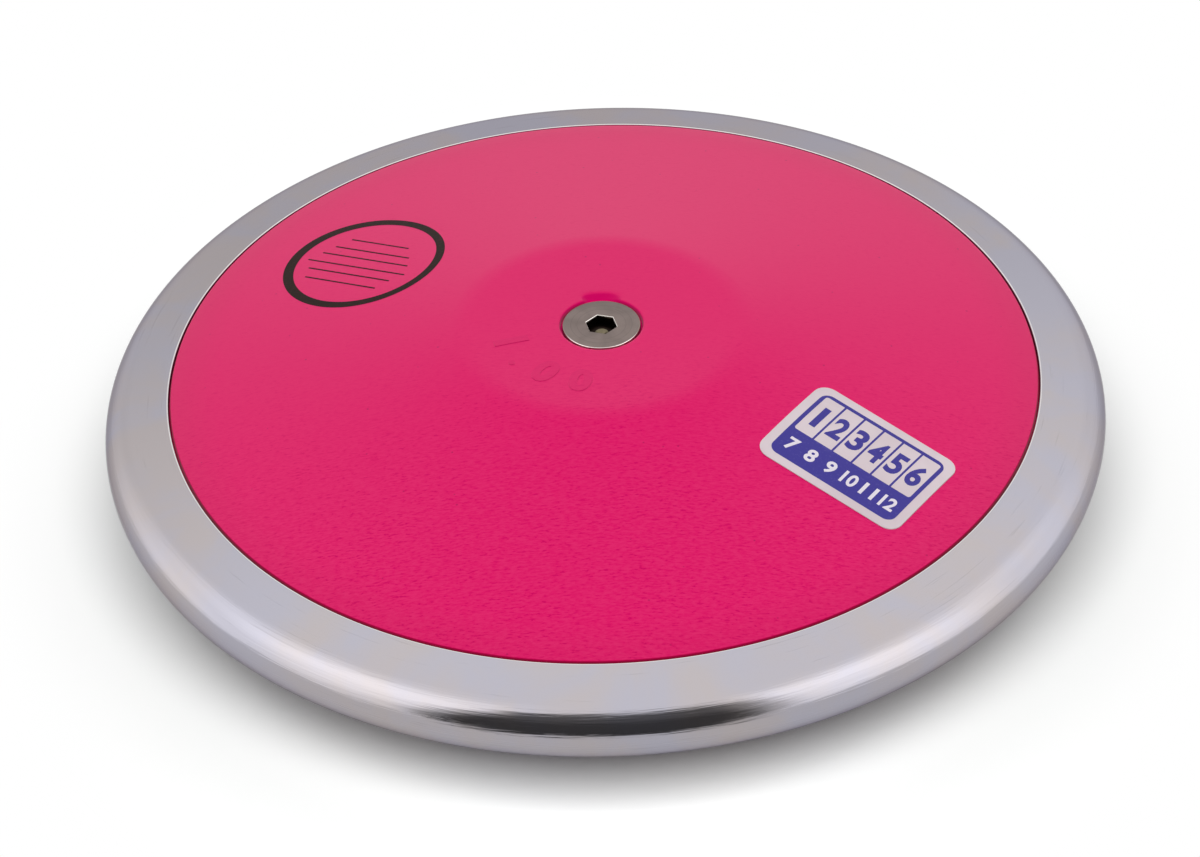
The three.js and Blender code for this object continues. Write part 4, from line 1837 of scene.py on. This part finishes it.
@dataclass
class Studio:
    """White studio: a floor, a surrounding that lights from behind and one large soft lamp in front."""

    outline: Outline
    back_level: float = 2.00
    back: Span = (0.4, 0.9)
    dark_low: float = 0.055
    dark_high: float = 0.14
    dark: Span = (0.35, 0.85)
    gap_left: float = -0.85
    gap_right: float = 0.64
    gap_lean: float = 0.45
    gap_soft: float = 0.22
    gap_top: Span = (0.95, 0.76)
    gap_ahead: Span = (-0.02, -0.08)
    floor_gap_left: float = -0.55
    floor_gap_right: float = 0.44
    floor_gap_soft: float = 0.14
    floor_gap_share: float = 0.92
    dark_floor: Span = (-0.150, -0.250)
    glow: Span = (0.17, 0.45)
    floor_colour: Colour = (0.80, 0.80, 0.80)
    floor_seen: Colour = (1.30, 1.31, 1.30)
    # Painted shadow: the floor's colour seen by the camera is darker to the left and right of the discus.
    floor_side_shade: Colour = (0.94, 0.95, 0.94)
    floor_level: float = 0.80
    floor_fall: float = 0.11
    floor_gain: float = 1.18
    fade: Span = (0.100, 0.128)
    fade_lead: float = 0.012
    mirrored: Span = (0.085, 0.115)
    floor_reach: float = 6.0
    floor_steps: int = 96
    floor_drop: float = 0.07 * MM
    lamp_elevation: float = 59.0
    lamp_distance: float = 3.3
    lamp_width: float = 3.39
    lamp_height: float = 2.40
    lamp_power: float = 115.0

    def build(self) -> None:
        """Builds the surroundings, the floor and the lamp."""
        self.build_surroundings()
        self.build_floor()
        self.add_lamp()

    def rays(self, graph: Graph) -> tuple[Value, Value]:
        """Masks of the camera's own rays and of those that gloss or glass sends on.

        Args:
            graph: Graph that gets the nodes.

        Returns:
            The two masks.
        """
        path = graph.add("ShaderNodeLightPath")
        mirror = graph.math("MAXIMUM", path["Is Glossy Ray"], path["Is Transmission Ray"])
        return path["Is Camera Ray"], mirror

    def gap(self, graph: Graph, place: Value, left: Any, right: float, soft: float) -> Value:
        """Mask of the unlit gap between the two front soft boxes, seen from above.

        Args:
            graph: Graph that gets the nodes.
            place: Direction or position.
            left: Side step of the gap's left edge for each step to the front.
            right: Side step of its right edge.
            soft: Half width of its soft edges.

        Returns:
            Mask from 0 to 1.
        """
        x, y, _ = graph.split(place)
        side = x / graph.math("MAXIMUM", y * -1.0, 0.001)
        after_left = graph.step(side - left, -soft, soft)
        return after_left * graph.step(side, right + soft, right - soft)

    def build_surroundings(self) -> None:
        """World that is white to the camera, plain for shading and a soft studio for gloss."""
        world = bpy.data.worlds.new("white_studio")
        bpy.context.scene.world = world
        world.use_nodes = True
        graph = Graph(world.node_tree)
        direction = graph.add("ShaderNodeTexCoord")["Generated"]
        _, y, z = graph.split(direction)
        open_sky = StudioGlow().put(graph, direction=direction)["Level"]
        left = z * z * self.gap_lean + self.gap_left
        sides = self.gap(graph, direction, left, self.gap_right, self.gap_soft)
        top = graph.step(z, *self.gap_top)
        dark = sides * top * graph.step(y, *self.gap_ahead)
        unlit = graph.step(z, *self.dark, self.dark_low, self.dark_high)
        plain = graph.step(y, *self.back, 0.0, self.back_level)
        camera, mirror = self.rays(graph)
        strength = graph.between(mirror, plain, graph.between(dark, open_sky, unlit))
        strength = graph.between(camera, strength, 1.0)
        background = graph.add("ShaderNodeBackground", {"Color": (1.0, 1.0, 1.0), "Strength": strength})
        graph.add("ShaderNodeOutputWorld", {"Surface": background[0]})

    def floor_material(self) -> bpy.types.Material:
        """Pale floor that shades near the discus, with painted shadow to its left and right, and is plain
        white or the studio's glow further out.

        Returns:
            The material.
        """
        material = bpy.data.materials.new("white_floor")
        material.use_nodes = True
        material.cycles.emission_sampling = "NONE"
        graph = Graph(material.node_tree)
        place = graph.add("ShaderNodeNewGeometry")["Position"]
        radius = graph.radius(place)
        x, y, _ = graph.split(place)
        camera, mirror = self.rays(graph)
        side = x / radius
        beside = side * side
        near = graph.math("MINIMUM", y / radius, 0.0) * self.floor_fall + self.floor_level
        glow = StudioGlow().put(graph, direction=place)["Level"]
        sides = self.gap(graph, place, self.floor_gap_left, self.floor_gap_right, self.floor_gap_soft)
        unlit = sides * graph.step(y, *self.dark_floor) * self.floor_gap_share
        level = graph.between(graph.step(radius, *self.glow), near, glow) * (1.0 - unlit)
        shaded = near * self.floor_gain
        mirrored = graph.add("ShaderNodeCombineColor", {0: shaded, 1: shaded, 2: shaded})[0]
        # Painted shadow to the left and right of the discus.
        seen = graph.paint(self.floor_seen, (beside, self.floor_side_shade))
        colour = graph.paint(self.floor_colour, (mirror, mirrored), (camera, seen))
        diffuse = graph.add("ShaderNodeBsdfDiffuse", {"Color": colour})
        white = graph.between(camera, level, 1.0)
        plain = graph.add("ShaderNodeEmission", {"Color": (1.0, 1.0, 1.0), "Strength": white})
        seen_far = camera * graph.step(beside * self.fade_lead + radius, *self.fade)
        mirrored_far = mirror * graph.step(radius, *self.mirrored)
        share = graph.math("MAXIMUM", seen_far, mirrored_far)
        mixed = graph.add("ShaderNodeMixShader", {0: share, 1: diffuse[0], 2: plain[0]})
        graph.add("ShaderNodeOutputMaterial", {"Surface": mixed[0]})
        return material

    def build_floor(self) -> None:
        """Adds the round floor, on which the discus lies with its raised digits."""
        floor = bmesh.new()
        bmesh.ops.create_circle(floor, cap_ends=True, segments=self.floor_steps, radius=self.floor_reach)
        data = bpy.data.meshes.new("studio_floor")
        floor.to_mesh(data)
        floor.free()
        data.materials.append(self.floor_material())
        made = bpy.data.objects.new("studio_floor", data)
        made.location = (0.0, 0.0, -self.outline.half_height - self.floor_drop)
        bpy.context.scene.collection.objects.link(made)

    def add_lamp(self) -> None:
        """Adds the large soft lamp above the front of the discus."""
        place = front_place(self.lamp_elevation, self.lamp_distance)
        data = bpy.data.lights.new("large_soft_lamp", "AREA")
        data.shape = "RECTANGLE"
        data.size = self.lamp_width
        data.size_y = self.lamp_height
        data.energy = self.lamp_power
        lamp = bpy.data.objects.new("large_soft_lamp", data)
        lamp.location = place
        lamp.rotation_euler = (-place).to_track_quat("-Z", "Y").to_euler()
        lamp.visible_glossy = False
        lamp.visible_camera = False
        bpy.context.scene.collection.objects.link(lamp)


@dataclass(frozen=True)
class PhotoCamera:
    """Camera at the photograph's viewing angle."""

    distance: float = 822.7 * MM
    elevation: float = 38.357
    yaw: float = 0.069
    pitch: float = -0.273
    roll: float = 2.213
    lens: float = 135.96
    sensor: float = 36.0
    clip_start: float = 10 * MM

    def build(self) -> None:
        """Adds the camera, aimed at the origin and then turned by yaw, pitch and roll."""
        spot = front_place(self.elevation, self.distance)
        ahead = -spot.normalized()
        right = ahead.cross(Vector((0.0, 0.0, 1.0))).normalized()
        upward = right.cross(ahead)
        yaw = Matrix.Rotation(math.radians(self.yaw), 3, upward)
        ahead, right = yaw @ ahead, yaw @ right
        pitch = Matrix.Rotation(math.radians(self.pitch), 3, right)
        ahead, upward = pitch @ ahead, pitch @ upward
        roll = Matrix.Rotation(math.radians(self.roll), 3, ahead)
        right, upward = roll @ right, roll @ upward
        data = bpy.data.cameras.new("photo_camera")
        data.lens = self.lens
        data.sensor_width = self.sensor
        data.sensor_fit = "HORIZONTAL"
        data.clip_start = self.clip_start
        camera = bpy.data.objects.new("photo_camera", data)
        turned = Matrix((right, upward, -ahead)).transposed().to_4x4()
        camera.matrix_world = Matrix.Translation(spot) @ turned
        bpy.context.scene.collection.objects.link(camera)
        bpy.context.scene.camera = camera


def main() -> None:
    """Builds the discus, then the studio and the camera."""
    logging.basicConfig(level=logging.INFO, format="%(name)s: %(message)s")
    bpy.context.scene.view_settings.view_transform = "Standard"
    outline = Outline.from_frame()
    finishes = FinishSet()
    SteelRim(outline, finishes.rim).build()
    SidePlate(outline, finishes.plate, Face.UPPER, "top_plate").build()
    SidePlate(outline, finishes.plate, Face.LOWER, "bottom_plate").build()
    WeightDigits(outline, finishes.marks, Face.UPPER).build()
    WeightDigits(outline, finishes.marks, Face.LOWER).build()
    CentreBolt(outline, finishes.head, finishes.burr, hex_angle=math.radians(43.5)).build()
    BarrelNut(outline, finishes.head, finishes.burr, hex_angle=math.radians(12)).build()
    Sticker(outline, finishes).build()
    OwnerPanel(outline, finishes.black).build()
    HiddenStack(finishes).dress()
    Studio(outline).build()
    PhotoCamera().build()


if __name__ == "__main__":
    main()
